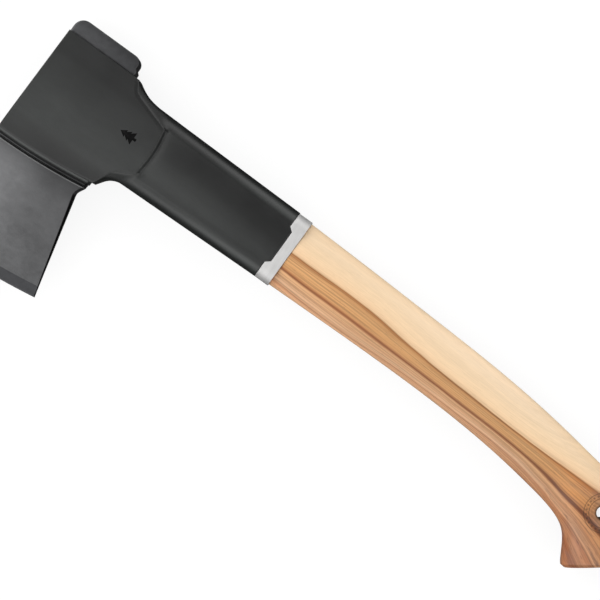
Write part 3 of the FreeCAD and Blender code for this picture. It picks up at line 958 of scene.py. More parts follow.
def open_hole(grid, faces_of):
    """Draws the grid's lines round the hole and returns the places of the mouth's edge."""
    skin = BVHTree.FromPolygons([tuple(p) for p in grid.reshape(-1, 3)], faces_of)
    middle = np.array(HOLE_CENTRE)
    upper = grid[:, : AROUND // 2 + 1]
    gap = np.linalg.norm(upper[..., :2] - middle, axis=-1)
    gap[: len(grid) // 2] = np.inf
    centre = np.unravel_index(np.argmin(gap), gap.shape)
    mouth = ring_of(centre, HOLE_RING)
    corners = np.array([grid[place][:2] - middle for place in mouth])
    angles = np.unwrap(np.arctan2(corners[:, 1], corners[:, 0]))
    turn = math.copysign(2.0 * math.pi / len(mouth), angles[-1] - angles[0])
    even = turn * np.arange(len(mouth))
    even = even + np.mean(angles - even)
    moves = MOUTH_RADIUS * np.column_stack([np.cos(even), np.sin(even)]) - corners
    shifted = {}
    for reach in range(HOLE_RING, HOLE_REACH):
        share = (HOLE_REACH - reach) / (HOLE_REACH - HOLE_RING)
        weight = share * share * (3.0 - 2.0 * share)
        places = ring_of(centre, reach)
        for step, place in enumerate(places):
            along = step * len(mouth) / len(places)
            low = int(along)
            part = along - low
            move = moves[low % len(mouth)] * (1.0 - part) + moves[(low + 1) % len(mouth)] * part
            shifted[place] = grid[place][:2] + move * weight
    for (i, j), (x, y) in shifted.items():
        hit = skin.ray_cast(Vector((x, y, 2.0 * PANEL_HALF)), Vector((0.0, 0.0, -1.0)))[0]
        grid[i, j] = (x, y, hit.z)
        grid[i, (AROUND - j) % AROUND] = (x, y, -hit.z)
    return centre, mouth


def mouth_profile():
    """Radius and height of the hole's loops, from the mouth to the middle of the wall."""
    slope = MOUTH_DEPTH / (MOUTH_RADIUS - HOLE_RADIUS)
    throat = HANDLE_STATIONS[-1][2] - MOUTH_DEPTH
    loops = []
    for share in MOUTH_SHARES:
        radius = HOLE_RADIUS + (MOUTH_RADIUS - HOLE_RADIUS) * share
        loops.append((radius, throat + slope * (radius - HOLE_RADIUS)))
    last_radius, last_height = loops[-1]
    bend = last_radius - HOLE_RADIUS
    for turn in BEND_TURNS:
        angle = math.radians(turn)
        inward = 1.0 - math.cos(math.radians(90.0 - turn))
        drop = bend * BEND_STRETCH * (1.0 - math.cos(angle))
        height = last_height - drop - slope * bend * math.sin(angle) * 0.5
        loops.append((HOLE_RADIUS + bend * inward, height))
    return loops + [(HOLE_RADIUS, z) for z in WALL_HEIGHTS]


def handle_mesh():
    """Tenon, grip and knob as one stack of sections, with the hole through the knob."""
    sections = tenon_sections() + handle_sections()
    grid = np.array(sections)
    rows = len(grid)
    skin_faces = tube_faces(rows, AROUND)
    centre, mouth = open_hole(grid, skin_faces)
    i, j = centre
    taken = set()
    for a in range(i - HOLE_RING, i + HOLE_RING):
        for b in range(j - HOLE_RING, j + HOLE_RING):
            taken.add((a, b))
            taken.add((a, AROUND - b - 1))
    points = [tuple(p) for p in grid.reshape(-1, 3)]
    faces = []
    for number, face in enumerate(skin_faces):
        if divmod(number, AROUND) not in taken:
            faces.append(face)
    faces.append(tuple(range(AROUND))[::-1])
    last = (rows - 1) * AROUND
    faces.append(tuple(range(last, last + AROUND)))

    loops = [[a * AROUND + b for a, b in mouth]]
    angles = [math.atan2(points[n][1] - HOLE_CENTRE[1], points[n][0] - HOLE_CENTRE[0]) for n in loops[0]]
    profile = mouth_profile()
    profile += [(radius, -z) for radius, z in profile[::-1]]
    for radius, z in profile:
        loops.append(list(range(len(points), len(points) + len(angles))))
        for angle in angles:
            x = HOLE_CENTRE[0] + radius * math.cos(angle)
            y = HOLE_CENTRE[1] + radius * math.sin(angle)
            points.append((x, y, z))
    loops.append([a * AROUND + (AROUND - b) % AROUND for a, b in mouth])
    for upper, lower in zip(loops, loops[1:]):
        for step in range(len(upper)):
            after = (step + 1) % len(upper)
            faces.append((upper[step], upper[after], lower[after], lower[step]))
    return points, faces


# ---- mark on each cheek ----

MARK_TIP_X = 60.4
MARK_Y = 0.5
MARK_TIERS = [(3.6, 2.3), (6.2, 3.1), (8.8, 3.9)]
MARK_NOTCH = 1.3
MARK_TRUNK = (10.6, 0.8)
MARK_PLATE = 0.12


def fir_outline():
    """Outline of a plain fir tree of three tiers and a trunk that points along -X."""
    side = [(0.0, 0.0)]
    for end, half in MARK_TIERS:
        side.append((end, half))
        side.append((end - 0.15, half - MARK_NOTCH))
    side[-1] = (MARK_TIERS[-1][0], MARK_TRUNK[1])
    side.append(MARK_TRUNK)
    outline = side + [(x, -y) for x, y in side[:0:-1]]
    return [(MARK_TIP_X + x, MARK_Y + y) for x, y in outline]


def mark_mesh():
    """The fir tree as a thin plate on both cheeks."""
    outline = fir_outline()
    count = len(outline)
    points = []
    faces = []
    for sign in (1.0, -1.0):
        first = len(points)
        for z in (PANEL_HALF, PANEL_HALF - MARK_PLATE):
            points.extend((x, y, sign * z) for x, y in outline)
        faces.append(tuple(range(first, first + count)))
        faces.append(tuple(range(first + count, first + 2 * count))[::-1])
        faces.extend(tube_faces(2, count, first))
    return points, faces


# ---- values and colours that vary over a surface ----

class Value:
    """An output of a node tree, with arithmetic that makes further nodes.

    Operands are numbers or other values.
    """

    def __init__(self, tree, socket):
        self.tree = tree
        self.socket = socket

    def node(self, kind):
        return self.tree.nodes.new("ShaderNode" + kind)

    def math(self, operation, *operands):
        made = self.node("Math")
        made.operation = operation
        for socket, operand in zip(made.inputs, (self, *operands)):
            feed(socket, operand)
        return Value(self.tree, made.outputs[0])

    def __add__(self, other):
        return self.math("ADD", other)

    def __sub__(self, other):
        return self.math("SUBTRACT", other)

    def __mul__(self, other):
        return self.math("MULTIPLY", other)

    def __truediv__(self, other):
        return self.math("DIVIDE", other)

    def __abs__(self):
        return self.math("ABSOLUTE")

    def remap(self, low, high, to_low=0.0, to_high=1.0, smooth=True):
        """This value from low..high to to_low..to_high, held at both ends."""
        made = self.node("MapRange")
        made.interpolation_type = "SMOOTHSTEP" if smooth else "LINEAR"
        for socket, operand in zip(made.inputs, (self, low, high, to_low, to_high)):
            feed(socket, operand)
        return Value(self.tree, made.outputs["Result"])

    def near(self, centre, half_width, soft):
        """1 where this value is within a half width of a centre, falling to 0 beyond it."""
        return abs(self - centre).remap(half_width, half_width + soft, 1.0, 0.0)

    def axes(self):
        """The x, y and z of a vector."""
        made = self.node("SeparateXYZ")
        feed(made.inputs[0], self)
        return [Value(self.tree, output) for output in made.outputs]


def feed(socket, operand):
    """Sets a node's input to a number, a vector or a colour, or links a value to it."""
    if isinstance(operand, Value):
        operand.tree.links.new(operand.socket, socket)
    elif socket.type == "RGBA":
        socket.default_value = (*operand, 1.0)
    else:
        socket.default_value = operand


def vector_of(x, y, z):
    made = x.node("CombineXYZ")
    for socket, operand in zip(made.inputs, (x, y, z)):
        feed(socket, operand)
    return Value(x.tree, made.outputs[0])


def from_centre(x, y, centre):
    """Distance of (x, y) from a centre."""
    across = x - float(centre[0])
    up = y - float(centre[1])
    return (across * across + up * up).math("SQRT")


def mixed(share, a, b, blend="MIX"):
    """Colour a with a share of colour b blended in."""
    made = share.node("Mix")
    made.data_type = "RGBA"
    made.blend_type = blend
    for name, operand in (("Factor", share), ("A", a), ("B", b)):
        feed(made.inputs[name], operand)
    return Value(share.tree, made.outputs["Result"])


def scaled(colour, value):
    """A colour times a value."""
    made = value.node("VectorMath")
    made.operation = "SCALE"
    feed(made.inputs[0], colour)
    feed(made.inputs["Scale"], value)
    return Value(value.tree, made.outputs["Vector"])


def noise(point, grain, detail=2.0, roughness=0.5, offset=(0.0, 0.0, 0.0)):
    """Noise about 0.5, with a grain size in millimetres along each axis."""
    mapping = point.node("Mapping")
    feed(mapping.inputs["Vector"], point)
    mapping.inputs["Scale"].default_value = tuple(1.0 / size for size in grain)
    mapping.inputs["Location"].default_value = offset
    made = point.node("TexNoise")
    feed(made.inputs["Vector"], Value(point.tree, mapping.outputs["Vector"]))
    made.inputs["Scale"].default_value = 1.0
    made.inputs["Detail"].default_value = detail
    made.inputs["Roughness"].default_value = roughness
    return Value(point.tree, made.outputs["Fac"])


def line_of(value, points):
    """Height of a smooth line through these (x, y) points, where x is the value."""
    low_x, high_x = points[0][0], points[-1][0]
    low_y = min(y for _, y in points)
    high_y = max(y for _, y in points)
    made = value.node("FloatCurve")
    curve = made.mapping.curves[0]
    while len(curve.points) < len(points):
        curve.points.new(0.5, 0.5)
    for knot, (x, y) in zip(curve.points, points):
        knot.location = ((x - low_x) / (high_x - low_x), (y - low_y) / (high_y - low_y))
    made.mapping.update()
    feed(made.inputs["Value"], value.remap(low_x, high_x, smooth=False))
    return Value(value.tree, made.outputs[0]) * (high_y - low_y) + low_y


def ramp(value, stops):
    """Colour along a value, from (value, colour) stops."""
    low, high = stops[0][0], stops[-1][0]
    made = value.node("ValToRGB")
    feed(made.inputs["Fac"], value.remap(low, high, smooth=False))
    elements = made.color_ramp.elements
    while len(elements) < len(stops):
        elements.new(0.5)
    for element, (where, colour) in zip(elements, stops):
        element.position = (where - low) / (high - low)
        element.color = (*colour, 1.0)
    return Value(value.tree, made.outputs["Color"])


def displayed(*levels):
    """A colour from the levels, of 0 to 255, that a screen shows it with."""
    return tuple(((level / 255.0 + 0.055) / 1.055) ** 2.4 for level in levels)


def new_material(name):
    """A material and the inputs of its shader."""
    material = bpy.data.materials.new(name)
    material.use_nodes = True
    return material, material.node_tree.nodes["Principled BSDF"].inputs


def surface_point(material):
    """The surface point in millimetres, in the tool's own axes."""
    tree = material.node_tree
    spot = Value(tree, tree.nodes.new("ShaderNodeTexCoord").outputs["Object"])
    made = spot.node("Mapping")
    made.vector_type = "POINT"
    feed(made.inputs["Vector"], spot)
    made.inputs["Scale"].default_value = (1.0 / MM, 1.0 / MM, 1.0 / MM)
    made.inputs["Location"].default_value = tuple(-SHIFT / MM)
    return Value(tree, made.outputs["Vector"])


def bump(shader, height, depth):
    """Bumps of this depth in millimetres."""
    made = height.node("Bump")
    made.inputs["Strength"].default_value = 1.0
    made.inputs["Distance"].default_value = depth * MM
    feed(made.inputs["Height"], height)
    feed(shader["Normal"], Value(height.tree, made.outputs["Normal"]))


# ---- wood ----

# Where the sapwood ends and how far the dark stripe runs below that, over x. Both are on the
# face at the full half thickness, and the layers lean by RING_LEAN through the thickness.
HEART_LINE = [
    (179.0, 1.3),
    (222.0, 0.9),
    (265.0, -2.2),
    (307.0, -5.0),
    (350.0, -6.6),
    (390.0, -6.7),
    (444.0, -7.6),
]
STRIPE_GAP = [
    (179.0, 10.5),
    (230.0, 11.0),
    (270.0, 8.6),
    (307.0, 7.8),
    (345.0, 7.6),
    (370.0, 9.8),
    (385.0, 12.4),
    (400.0, 14.3),
    (444.0, 30.0),
]
RING_LEAN = 0.32

# Shades of the layers, as levels of 0 to 255: 0 is the heart line and -1 the dark stripe
LAYERS = [
    (-3.0, (200, 146, 110)),
    (-2.5, (178, 118, 82)),
    (-2.3, (198, 146, 108)),
    (-2.05, (208, 154, 114)),
    (-1.9, (186, 132, 96)),
    (-1.72, (224, 178, 138)),
    (-1.55, (216, 168, 126)),
    (-1.42, (204, 152, 108)),
    (-1.3, (214, 164, 116)),
    (-1.15, (216, 164, 114)),
    (-1.08, (172, 110, 64)),
    (-1.02, (140, 80, 38)),
    (-0.96, (158, 96, 50)),
    (-0.88, (202, 146, 92)),
    (-0.7, (207, 153, 98)),
    (-0.42, (213, 161, 106)),
    (-0.2, (204, 151, 98)),
    (-0.08, (178, 122, 72)),
    (-0.02, (150, 96, 52)),
    (0.02, (214, 170, 124)),
    (0.08, (236, 198, 156)),
    (0.3, (242, 207, 166)),
    (0.6, (243, 211, 171)),
    (1.2, (244, 214, 176)),
    (3.0, (246, 219, 186)),
]
STRIPE_PLACE = -1.02
STRIPE_COLOUR = (0.17, 0.06, 0.02)
WOOD_LEVEL = 0.71
SIDE_LIGHT_TONE = 1.4
BELLY_EDGE_HIGHLIGHT_COLOUR = (0.75, 0.48, 0.29)
KNOB_TINT = (1.16, 0.99, 0.9)
FLECK_COLOUR = (0.19, 0.085, 0.06)
CLOUD_COLOUR = (0.33, 0.25, 0.22)
PORE_COLOUR = (0.12, 0.06, 0.03)
BURN_AND_THROAT_COLOUR = (0.035, 0.016, 0.01)
RINGS_PER_GAP = 7.0
HOLE_RINGS = (8.4, 11.3)
HOLE_DOTS = 24


def wood_layers(point):
    """Height above the heart line, the same in stripe gaps, and the noise that bends both."""
    x, y, z = point.axes()
    drift = noise(point, (85.0, 22.0, 22.0), detail=1.5)
    waver = noise(point, (26.0, 5.0, 5.0), offset=(3.1, 7.7, 1.3))
    bend = (drift * 1.8 - 0.9) + (waver * 0.9 - 0.45)
    lean = (z - HANDLE_STATIONS[0][2]) * RING_LEAN
    above = y + bend + lean - line_of(x, HEART_LINE)
    return above, above / line_of(x, STRIPE_GAP), waver


def grain_tone(laid, place, heart, waver, streaks, fibres):
    """Growth rings, streaks and fibres. Rings and streaks are stronger in the heartwood."""
    rings = noise(laid, (240.0, 3.2, 40.0), detail=1.0, offset=(0.4, 1.7, 0.0))
    rings = rings.remap(0.36, 0.64, 1.0, 0.0)
    swing = noise(laid, (70.0, 5.0, 30.0), detail=1.0, offset=(1.0, 6.0, 3.0))
    turn = (place * RINGS_PER_GAP + swing * 2.4).math("FRACT")
    late = turn.remap(0.0, 0.45, 1.0, 0.0) * waver.remap(0.35, 0.6, 0.25, 1.0)
    ring_tone = (rings * -0.055 + 1.02) * (late * (heart * -0.2 - 0.03) + 1.05)
    streak_tone = streaks * (heart * -0.23 - 0.03) + 1.06
    return ring_tone * streak_tone * fibres.remap(0.3, 0.7, 0.94, 1.06, smooth=False)


def place_tone(x, z, heart, far_heart, belly):
    """Paler next to the collar and darker in the knob, with painted light that makes the rounded sides and
    the belly's edge paler.
    """
    # Painted light: the rounded sides are made paler.
    side = abs(z).remap(6.0, 13.2, SIDE_LIGHT_TONE, 1.0)
    near_collar = heart * x.remap(190.0, 265.0, 1.0, 0.0)
    knob = heart * x.remap(384.0, 405.0)
    tone = (far_heart * -0.04 + 1.0) * side * (knob * -0.24 + 1.0)
    # The belly's share here is painted light on its rounded edge.
    return tone * (near_collar * 0.14 + 1.0) * (belly * 0.3 + 1.0)


def knob_colours(point, laid, place, colour, far_heart):
    """A darker stripe, a redder tint, flecks and grey clouds towards the knob."""
    stripe = place.near(STRIPE_PLACE, 0.03, 0.1) * point.axes()[0].remap(340.0, 385.0, 0.0, 0.75)
    colour = mixed(stripe, colour, STRIPE_COLOUR)
    colour = mixed(far_heart, colour, KNOB_TINT, blend="MULTIPLY")
    flecks = noise(laid, (16.0, 1.6, 3.0), detail=3.0, roughness=0.65, offset=(9.0, 4.0, 4.0))
    colour = mixed(flecks.remap(0.56, 0.7) * far_heart * 0.6, colour, FLECK_COLOUR)
    clouds = noise(point, (30.0, 8.0, 8.0), offset=(2.0, 2.0, 6.0)).remap(0.45, 0.7)
    return mixed(clouds * far_heart * 0.25, colour, CLOUD_COLOUR)


def burned_rings_and_throat(x, y):
    """Two thin burned circles round the hole with a row of dots between them, and its dark throat."""
    radius = from_centre(x, y, HOLE_CENTRE)
    inner, outer = (radius.near(ring, 0.12, 0.3) for ring in HOLE_RINGS)
    angle = (y - HOLE_CENTRE[1]).math("ARCTAN2", x - HOLE_CENTRE[0])
    step = (angle * (HOLE_DOTS / (2.0 * math.pi))).math("FRACT")
    dots_radius = 0.5 * sum(HOLE_RINGS)
    across = (step - 0.5) * (2.0 * math.pi * dots_radius / HOLE_DOTS)
    dots = from_centre(across, radius, (0.0, dots_radius)).remap(0.45, 0.8, 1.0, 0.0)
    burned = inner.math("MAXIMUM", outer).math("MAXIMUM", dots)
    # Darker down the mouth and the hole's wall.
    throat = radius.remap(HOLE_RADIUS + 0.2, HOLE_RADIUS + 1.8, 0.75, 0.0)
    return (burned * 0.55).math("MAXIMUM", throat)


def hickory():
    """Pale sapwood on the back, brown heartwood below it and burned rings round the hole."""
    material, shader = new_material("hickory")
    point = surface_point(material)
    x, y, z = point.axes()
    above, place, waver = wood_layers(point)
    heart = above.remap(-1.0, 3.0, 1.0, 0.0)
    far_heart = x.remap(352.0, 408.0) * heart
    # Painted light: the belly's rounded lower edge is made lighter and paler in colour.
    belly = heart * abs(z).remap(3.0, 11.0, 1.0, 0.0) * x.remap(330.0, 380.0, 1.0, 0.0)
    laid = vector_of(x, place * 10.0, z)
    streaks = noise(laid, (100.0, 0.8, 8.0), roughness=0.6, offset=(5.0, 0.3, 2.0)).remap(0.47, 0.6)
    fibres = noise(point, (9.0, 0.45, 0.45), detail=3.0, roughness=0.65)
    tone = grain_tone(laid, place, heart, waver, streaks, fibres)
    tone = tone * place_tone(x, z, heart, far_heart, belly)

    colour = ramp(place, [(where, displayed(*levels)) for where, levels in LAYERS])
    colour = mixed(belly * 0.55, colour, BELLY_EDGE_HIGHLIGHT_COLOUR)
    colour = knob_colours(point, laid, place, colour, far_heart)
    pores = noise(point, (3.6, 0.22, 0.22), detail=1.0, offset=(0.0, 8.0, 3.0)).remap(0.68, 0.76)
    colour = mixed(pores * (heart * 0.3 + 0.12), colour, PORE_COLOUR)
    colour = mixed(burned_rings_and_throat(x, y), colour, BURN_AND_THROAT_COLOUR)
    feed(shader["Base Color"], scaled(colour, tone * WOOD_LEVEL))
    feed(shader["Roughness"], streaks.remap(0.0, 1.0, 0.44, 0.56))
    bump(shader, fibres * 0.3 - pores, 0.035)
    return material


# ---- steel: a ground and oiled blade with a finer bevel, darker partly by painted shade, and a blackened poll ----

BLADE_COLOUR = (0.17, 0.171, 0.175)
BEVEL_FINISH_AND_SHADE_COLOUR = (0.068, 0.069, 0.073)
POLL_COLOUR = (0.08, 0.081, 0.084)
BLADE_TOP_HIGHLIGHT_COLOUR = (0.26, 0.26, 0.26)
RIM_SHADE_COLOUR = (0.006, 0.006, 0.006)
HEEL_SHADE_COLOUR = (0.004, 0.004, 0.004)
HEEL_SHADE_WIDTH = 1.2
HEEL_SHADE_TAPER = 0.009


def heel_shade_strip(x, y):
    """How far a point is inside the strip of painted shadow along the heel, which narrows towards the
    edge.
    """
    root = np.array(BLADE_HEEL_ROOT[:2])
    down = unit(np.array(BLADE_HEEL) - root)
    slope = np.array((-down[1], down[0])) - HEEL_SHADE_TAPER * down
    return x * float(slope[0]) + y * float(slope[1]) + float(HEEL_SHADE_WIDTH - slope @ root)


def flank_colour_with_painted_light(x, y, tone, outset):
    """The blade's flanks with painted light and shade: dimmer towards the heel, the edge and the rim."""
    # Painted light and shade: lighter at the toe, darker at the heel and beside the holder's rim.
    tone = tone * (x * -0.0035 + y * -0.004 + 0.78).math("MAXIMUM", 0.6)
    tone = tone * x.remap(18.0, 50.0, 1.12, 0.72)
    return scaled(BLADE_COLOUR, tone * outset.remap(2.0, 17.0, 0.55, 1.0, smooth=False))


def rim_lines(colour, outset):
    """A painted highlight along the blade's top, and painted shade above it towards the rim, with less of
    it in a band.
    """
    # Painted highlight along the blade's rounded top edge.
    colour = mixed(outset.near(2.65, 0.25, 0.25) * 0.6, colour, BLADE_TOP_HIGHLIGHT_COLOUR)
    # Painted shade in the groove and on the steel under the holder's rim, with less of it in a band over
    # the shoulder.
    rim_shade = outset.remap(2.0, 2.35, 0.95, 0.0) - outset.near(1.2, 0.6, 0.35) * 0.5
    return mixed(rim_shade, colour, RIM_SHADE_COLOUR)


def satin_steel():
    """One skin for the whole head, whose parts are told apart by their place."""
    material, shader = new_material("satin_steel")
    point = surface_point(material)
    x, y, _ = point.axes()
    inset = from_centre(x, y, edge_centre()) * -1.0 + EDGE_RADIUS
    outset = from_centre(x, y, RIM_CENTRE) - RIM_RADIUS
    poll = y.remap(RIM_FRONT_Y + 5.0, SEAM_Y - 5.0)
    bevel = inset.remap(BEVEL_WIDTH - 0.25, BEVEL_WIDTH + 0.1, 1.0, 0.0)
    clouds = noise(point, (24.0, 17.0, 17.0), detail=4.0, roughness=0.6)
    mottle = noise(point, (4.0, 3.2, 3.2), detail=3.0, roughness=0.65, offset=(4.0, 0.0, 1.0))
    specks = noise(point, (0.7, 0.7, 0.7), roughness=0.6)
    tone = clouds.remap(0.25, 0.75, 0.86, 1.12) * mottle.remap(0.25, 0.75, 0.95, 1.05)
    tone = tone * specks.remap(0.25, 0.75, 0.975, 1.025)

    # The bevel's darker colour is partly its finer finish and partly painted shade.
    colour = mixed(bevel, flank_colour_with_painted_light(x, y, tone, outset), BEVEL_FINISH_AND_SHADE_COLOUR)
    colour = rim_lines(colour, outset)
    # Painted shadow along the blade's heel edge.
    heel = heel_shade_strip(x, y).remap(-0.2, 0.15) * y.remap(-45.6, -43.8, 1.0, 0.0)
    colour = mixed(heel, colour, HEEL_SHADE_COLOUR)
    # The poll's blackened colour, darker towards its rear and towards its top.
    blackened = tone * (x * -0.0097 + 1.27) * (y * -0.062 + 3.1)
    feed(shader["Base Color"], mixed(poll, colour, scaled(POLL_COLOUR, blackened)))
    feed(shader["Metallic"], 0.85)
    feed(shader["Roughness"], mottle.remap(0.2, 0.8, 0.38, 0.5) - bevel * 0.06)
    grinding = noise(point, (0.12, 9.0, 0.12), detail=1.0, offset=(2.0, 0.0, 0.0))
    bump(shader, grinding * (poll * -0.8 + 1.0) * 0.35 + mottle * 0.8, 0.03)
    return material


# ---- composite: matt skin, with light and shade painted into its grey ----

# The grey of the cheeks and of the neck over y, lighter and darker to paint light and shade
CHEEK_GREY_AND_LIGHT = [
    (-42.0, 0.002),
    (-31.0, 0.0045),
    (-26.0, 0.0108),
    (-21.0, 0.0185),
    (-10.0, 0.02),
    (-4.0, 0.017),
    (5.0, 0.013),
    (14.0, 0.0105),
    (20.0, 0.006),
    (40.0, 0.005),
]
NECK_GREY_AND_LIGHT = [
    (-30.0, 0.004),
    (-22.0, 0.012),
    (-18.0, 0.015),
    (-14.0, 0.012),
    (-10.0, 0.0165),
    (-5.0, 0.0125),
    (0.0, 0.009),
    (5.0, 0.0045),
    (12.0, 0.003),
    (18.0, 0.007),
    (30.0, 0.005),
]
LEAST_GREY = 0.001
SKIN_TINT = (0.95, 1.05, 1.0)


def grey_with_painted_light(x, y):
    """How grey the skin is, with painted light and shade: cheeks, neck, highlights on the neck's long
    edges, the lip at the rim and the front, and shade towards the cheek's rear and the neck's end.
    """
    on_neck = x.remap(65.0, 105.0)
    # Painted light and shade across the cheeks and the neck.
    cheeks = line_of(y, CHEEK_GREY_AND_LIGHT) * (on_neck * -1.0 + 1.0)
    neck = line_of(y, NECK_GREY_AND_LIGHT) * on_neck
    # Painted highlights along the neck's long rounded edges.
    long_edge_highlights = abs(y).near(18.0, 1.0, 2.5) * x.remap(98.0, 150.0, 0.0, 0.013)
    outset = from_centre(x, y, RIM_CENTRE) - RIM_RADIUS
    # Painted highlight on the lip at the rim.
    lip = outset.near(-1.55, 0.5, 0.45) * x.remap(HOLDER_HEEL_X, HOLDER_TIP[0], 0.026, 0.0)
    # Painted light on the front of the cheek, low down.
    front = y.near(-33.0, 3.0, 7.0) * x.remap(8.0, 34.0, 0.0045, 0.0)
    # Painted shade towards the rear of the cheek and near the neck's end.
    rear_shade = x.remap(20.0, 50.0, 0.001, 0.0035) * x.remap(70.0, 100.0, 1.0, 0.0)
    rear_shade = rear_shade * y.remap(-30.0, -24.0) * y.remap(16.0, 24.0, 1.0, 0.0)
    end_shade = y.near(-5.0, 5.0, 6.0) * x.remap(135.0, 162.0, 0.0, 0.004)
    grey = cheeks + neck + long_edge_highlights + lip + front - rear_shade - end_shade
    return grey.math("MAXIMUM", LEAST_GREY)


def black_composite():
    """Spark-eroded matt skin."""
    material, shader = new_material("black_composite")
    point = surface_point(material)
    x, y, _ = point.axes()
    skin = noise(point, (0.42, 0.42, 0.42), roughness=0.6)
    smudge = noise(point, (26.0, 20.0, 20.0), detail=3.0, roughness=0.55)
    flow = noise(point, (9.0, 3.0, 3.0), detail=3.0, roughness=0.6, offset=(1.0, 5.0, 2.0))
    tone = smudge.remap(0.25, 0.75, 0.88, 1.12) * flow.remap(0.25, 0.75, 0.93, 1.07)
    tone = tone * skin.remap(0.3, 0.7, 0.93, 1.07)
    feed(shader["Base Color"], scaled(SKIN_TINT, tone * grey_with_painted_light(x, y)))
    feed(shader["Roughness"], smudge.remap(0.25, 0.75, 0.36, 0.44) + skin.remap(0.3, 0.7, -0.03, 0.03))
    bump(shader, skin, 0.04)
    return material


def mark_paint():
    """Dead black paint with a fine grain."""
    material, shader = new_material("mark_paint")
    grain = noise(surface_point(material), (0.25, 0.25, 0.25))
    feed(shader["Base Color"], scaled((0.003, 0.003, 0.003), grain.remap(0.3, 0.7, 0.7, 1.3)))
    feed(shader["Roughness"], grain.remap(0.3, 0.7, 0.7, 0.9))
    feed(shader["Specular IOR Level"], 0.12)
    bump(shader, grain, 0.01)
    return material


def collar_aluminium():
    """Bead-blasted and anodised, with faint lines from turning and small handling marks."""
    material, shader = new_material("collar_aluminium")
    point = surface_point(material)
    lines = noise(point, (0.16, 26.0, 26.0))
    blast = noise(point, (0.3, 0.3, 0.3), roughness=0.7)
    clouds = noise(point, (3.0, 9.0, 9.0), detail=3.0, roughness=0.6)
    tone = clouds.remap(0.25, 0.75, 0.93, 1.05) * lines.remap(0.3, 0.7, 0.965, 1.03)
    feed(shader["Base Color"], scaled((0.54, 0.535, 0.53), tone))
    feed(shader["Metallic"], 0.55)
    feed(shader["Roughness"], blast.remap(0.25, 0.75, 0.5, 0.62))
    bump(shader, lines * 0.4 + blast, 0.012)
    return material


def amber_bond():
    """Cured resin round the tenon: amber, with bubbles and clouds of filler."""
    material, shader = new_material("amber_bond")
    point = surface_point(material)
    clouds = noise(point, (6.0, 6.0, 6.0), detail=3.0).remap(0.35, 0.65)
    bubbles = noise(point, (0.8, 0.8, 0.8), detail=1.0)
    colour = mixed(clouds, (0.6, 0.42, 0.16), (0.72, 0.58, 0.3))
    colour = mixed(bubbles.remap(0.66, 0.74, 0.0, 0.6), colour, (0.85, 0.78, 0.6))
    feed(shader["Base Color"], colour)
    feed(shader["Roughness"], 0.22)
    bump(shader, bubbles, 0.05)
    return material


# ---- pieces ----

add_piece("holder", *holder_mesh(), black_composite(), "neck_moulding", "black_composite")
add_piece("cheek_marks", *mark_mesh(), mark_paint(), None, "black_composite")
add_piece("head", *head_mesh(), satin_steel(), "steel_head", "dark_steel")
add_piece("collar", *collar_mesh(), collar_aluminium(), "collar_ring", "collar_metal")
add_piece("grip", *handle_mesh(), hickory(), "handle", "hickory")
for material_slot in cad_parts["tenon_adhesive"].material_slots:
    material_slot.material = amber_bond()


# ---- camera, light, floor and studio ----

# The camera looks straight down at the cheek, turned about its own axis
CAMERA_PLACE = (198.86, -17.71, 1800.0)
CAMERA_TURN = math.radians(36.0)
LENS = 189.4
SENSOR_WIDTH = 36.0
FAR_LIMIT = 20.0

# The softbox, in metres in the row frame
SOFTBOX_PLACE = (-0.2, -0.04, 0.45)
SOFTBOX_SIZE = (0.22, 0.1)
SOFTBOX_POWER = 0.2
FLOOR_HALF = 3.0

# The studio: dim overhead, bright softboxes all round at middle heights, dark below the bench.
# Levels go with the height of a direction along the axis of the dim part, from -1 to 1.
DIM_AXIS = (0.02, 0.08, 0.9966)
LEFT_SHARE = 0.25
SKY_STRENGTH = 2.1
SKY = [
    (-1.0, 0.02),
    (0.0, 0.02),
    (0.16, 0.1),
    (0.34, 0.9),
    (0.66, 1.1),
    (0.82, 0.38),
    (0.92, 0.1),
    (1.0, 0.06),
]


def add_object(name, data):
    made = bpy.data.objects.new(name, data)
    bpy.context.scene.collection.objects.link(made)
    return made


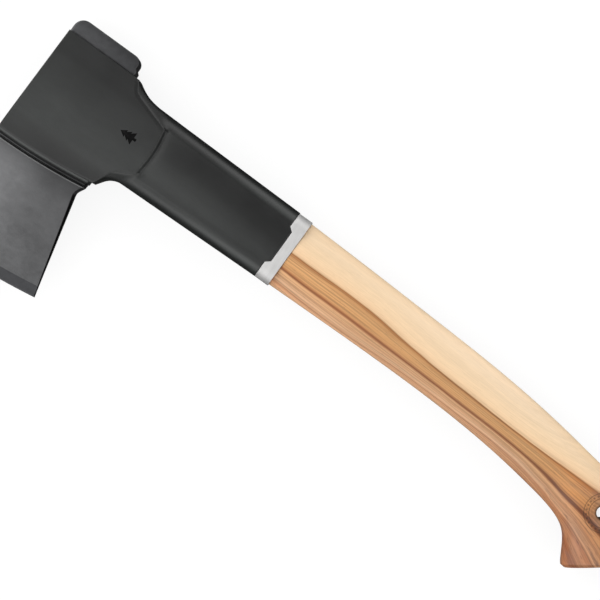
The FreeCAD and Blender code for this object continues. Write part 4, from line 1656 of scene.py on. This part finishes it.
def add_camera():
    data = bpy.data.cameras.new("camera")
    data.lens = LENS
    data.sensor_width = SENSOR_WIDTH
    data.clip_end = FAR_LIMIT
    camera = add_object("camera", data)
    camera.location = tuple(np.array(CAMERA_PLACE) * MM + SHIFT)
    camera.rotation_euler = (0.0, 0.0, CAMERA_TURN)
    bpy.context.scene.camera = camera


def add_softbox():
    data = bpy.data.lights.new("softbox", "AREA")
    data.shape = "RECTANGLE"
    data.size, data.size_y = SOFTBOX_SIZE
    data.energy = SOFTBOX_POWER
    light = add_object("softbox", data)
    light.location = SOFTBOX_PLACE
    light.visible_camera = False


def add_floor():
    """A pale floor that the camera sees, and that gives the tool no light of its own."""
    signs = [(-1.0, -1.0), (1.0, -1.0), (1.0, 1.0), (-1.0, 1.0)]
    corners = [(x * FLOOR_HALF, y * FLOOR_HALF, 0.0) for x, y in signs]
    mesh = bpy.data.meshes.new("floor")
    mesh.from_pydata(corners, [], [(0, 1, 2, 3)])
    material, shader = new_material("floor")
    feed(shader["Base Color"], (0.15, 0.15, 0.15))
    feed(shader["Roughness"], 0.9)
    feed(shader["Specular IOR Level"], 0.0)
    feed(shader["Emission Color"], (1.0, 1.0, 1.0))
    feed(shader["Emission Strength"], 0.86)
    mesh.materials.append(material)
    floor = add_object("floor", mesh)
    floor.visible_diffuse = False
    floor.visible_glossy = False


def add_studio():
    """The light from all round, brighter on the left by a share."""
    world = bpy.data.worlds.new("studio")
    world.use_nodes = True
    tree = world.node_tree
    direction = Value(tree, tree.nodes.new("ShaderNodeTexCoord").outputs["Generated"])
    dot = direction.node("VectorMath")
    dot.operation = "DOT_PRODUCT"
    feed(dot.inputs[0], direction)
    feed(dot.inputs[1], DIM_AXIS)
    background = tree.nodes["Background"].inputs
    levels = [(where, (level, level, level)) for where, level in SKY]
    feed(background["Color"], ramp(Value(tree, dot.outputs["Value"]), levels))
    feed(background["Strength"], direction.axes()[0] * (-LEFT_SHARE * SKY_STRENGTH) + SKY_STRENGTH)
    bpy.context.scene.world = world


add_camera()
add_softbox()
add_floor()
add_studio()
bpy.context.scene.view_settings.view_transform = "Standard"
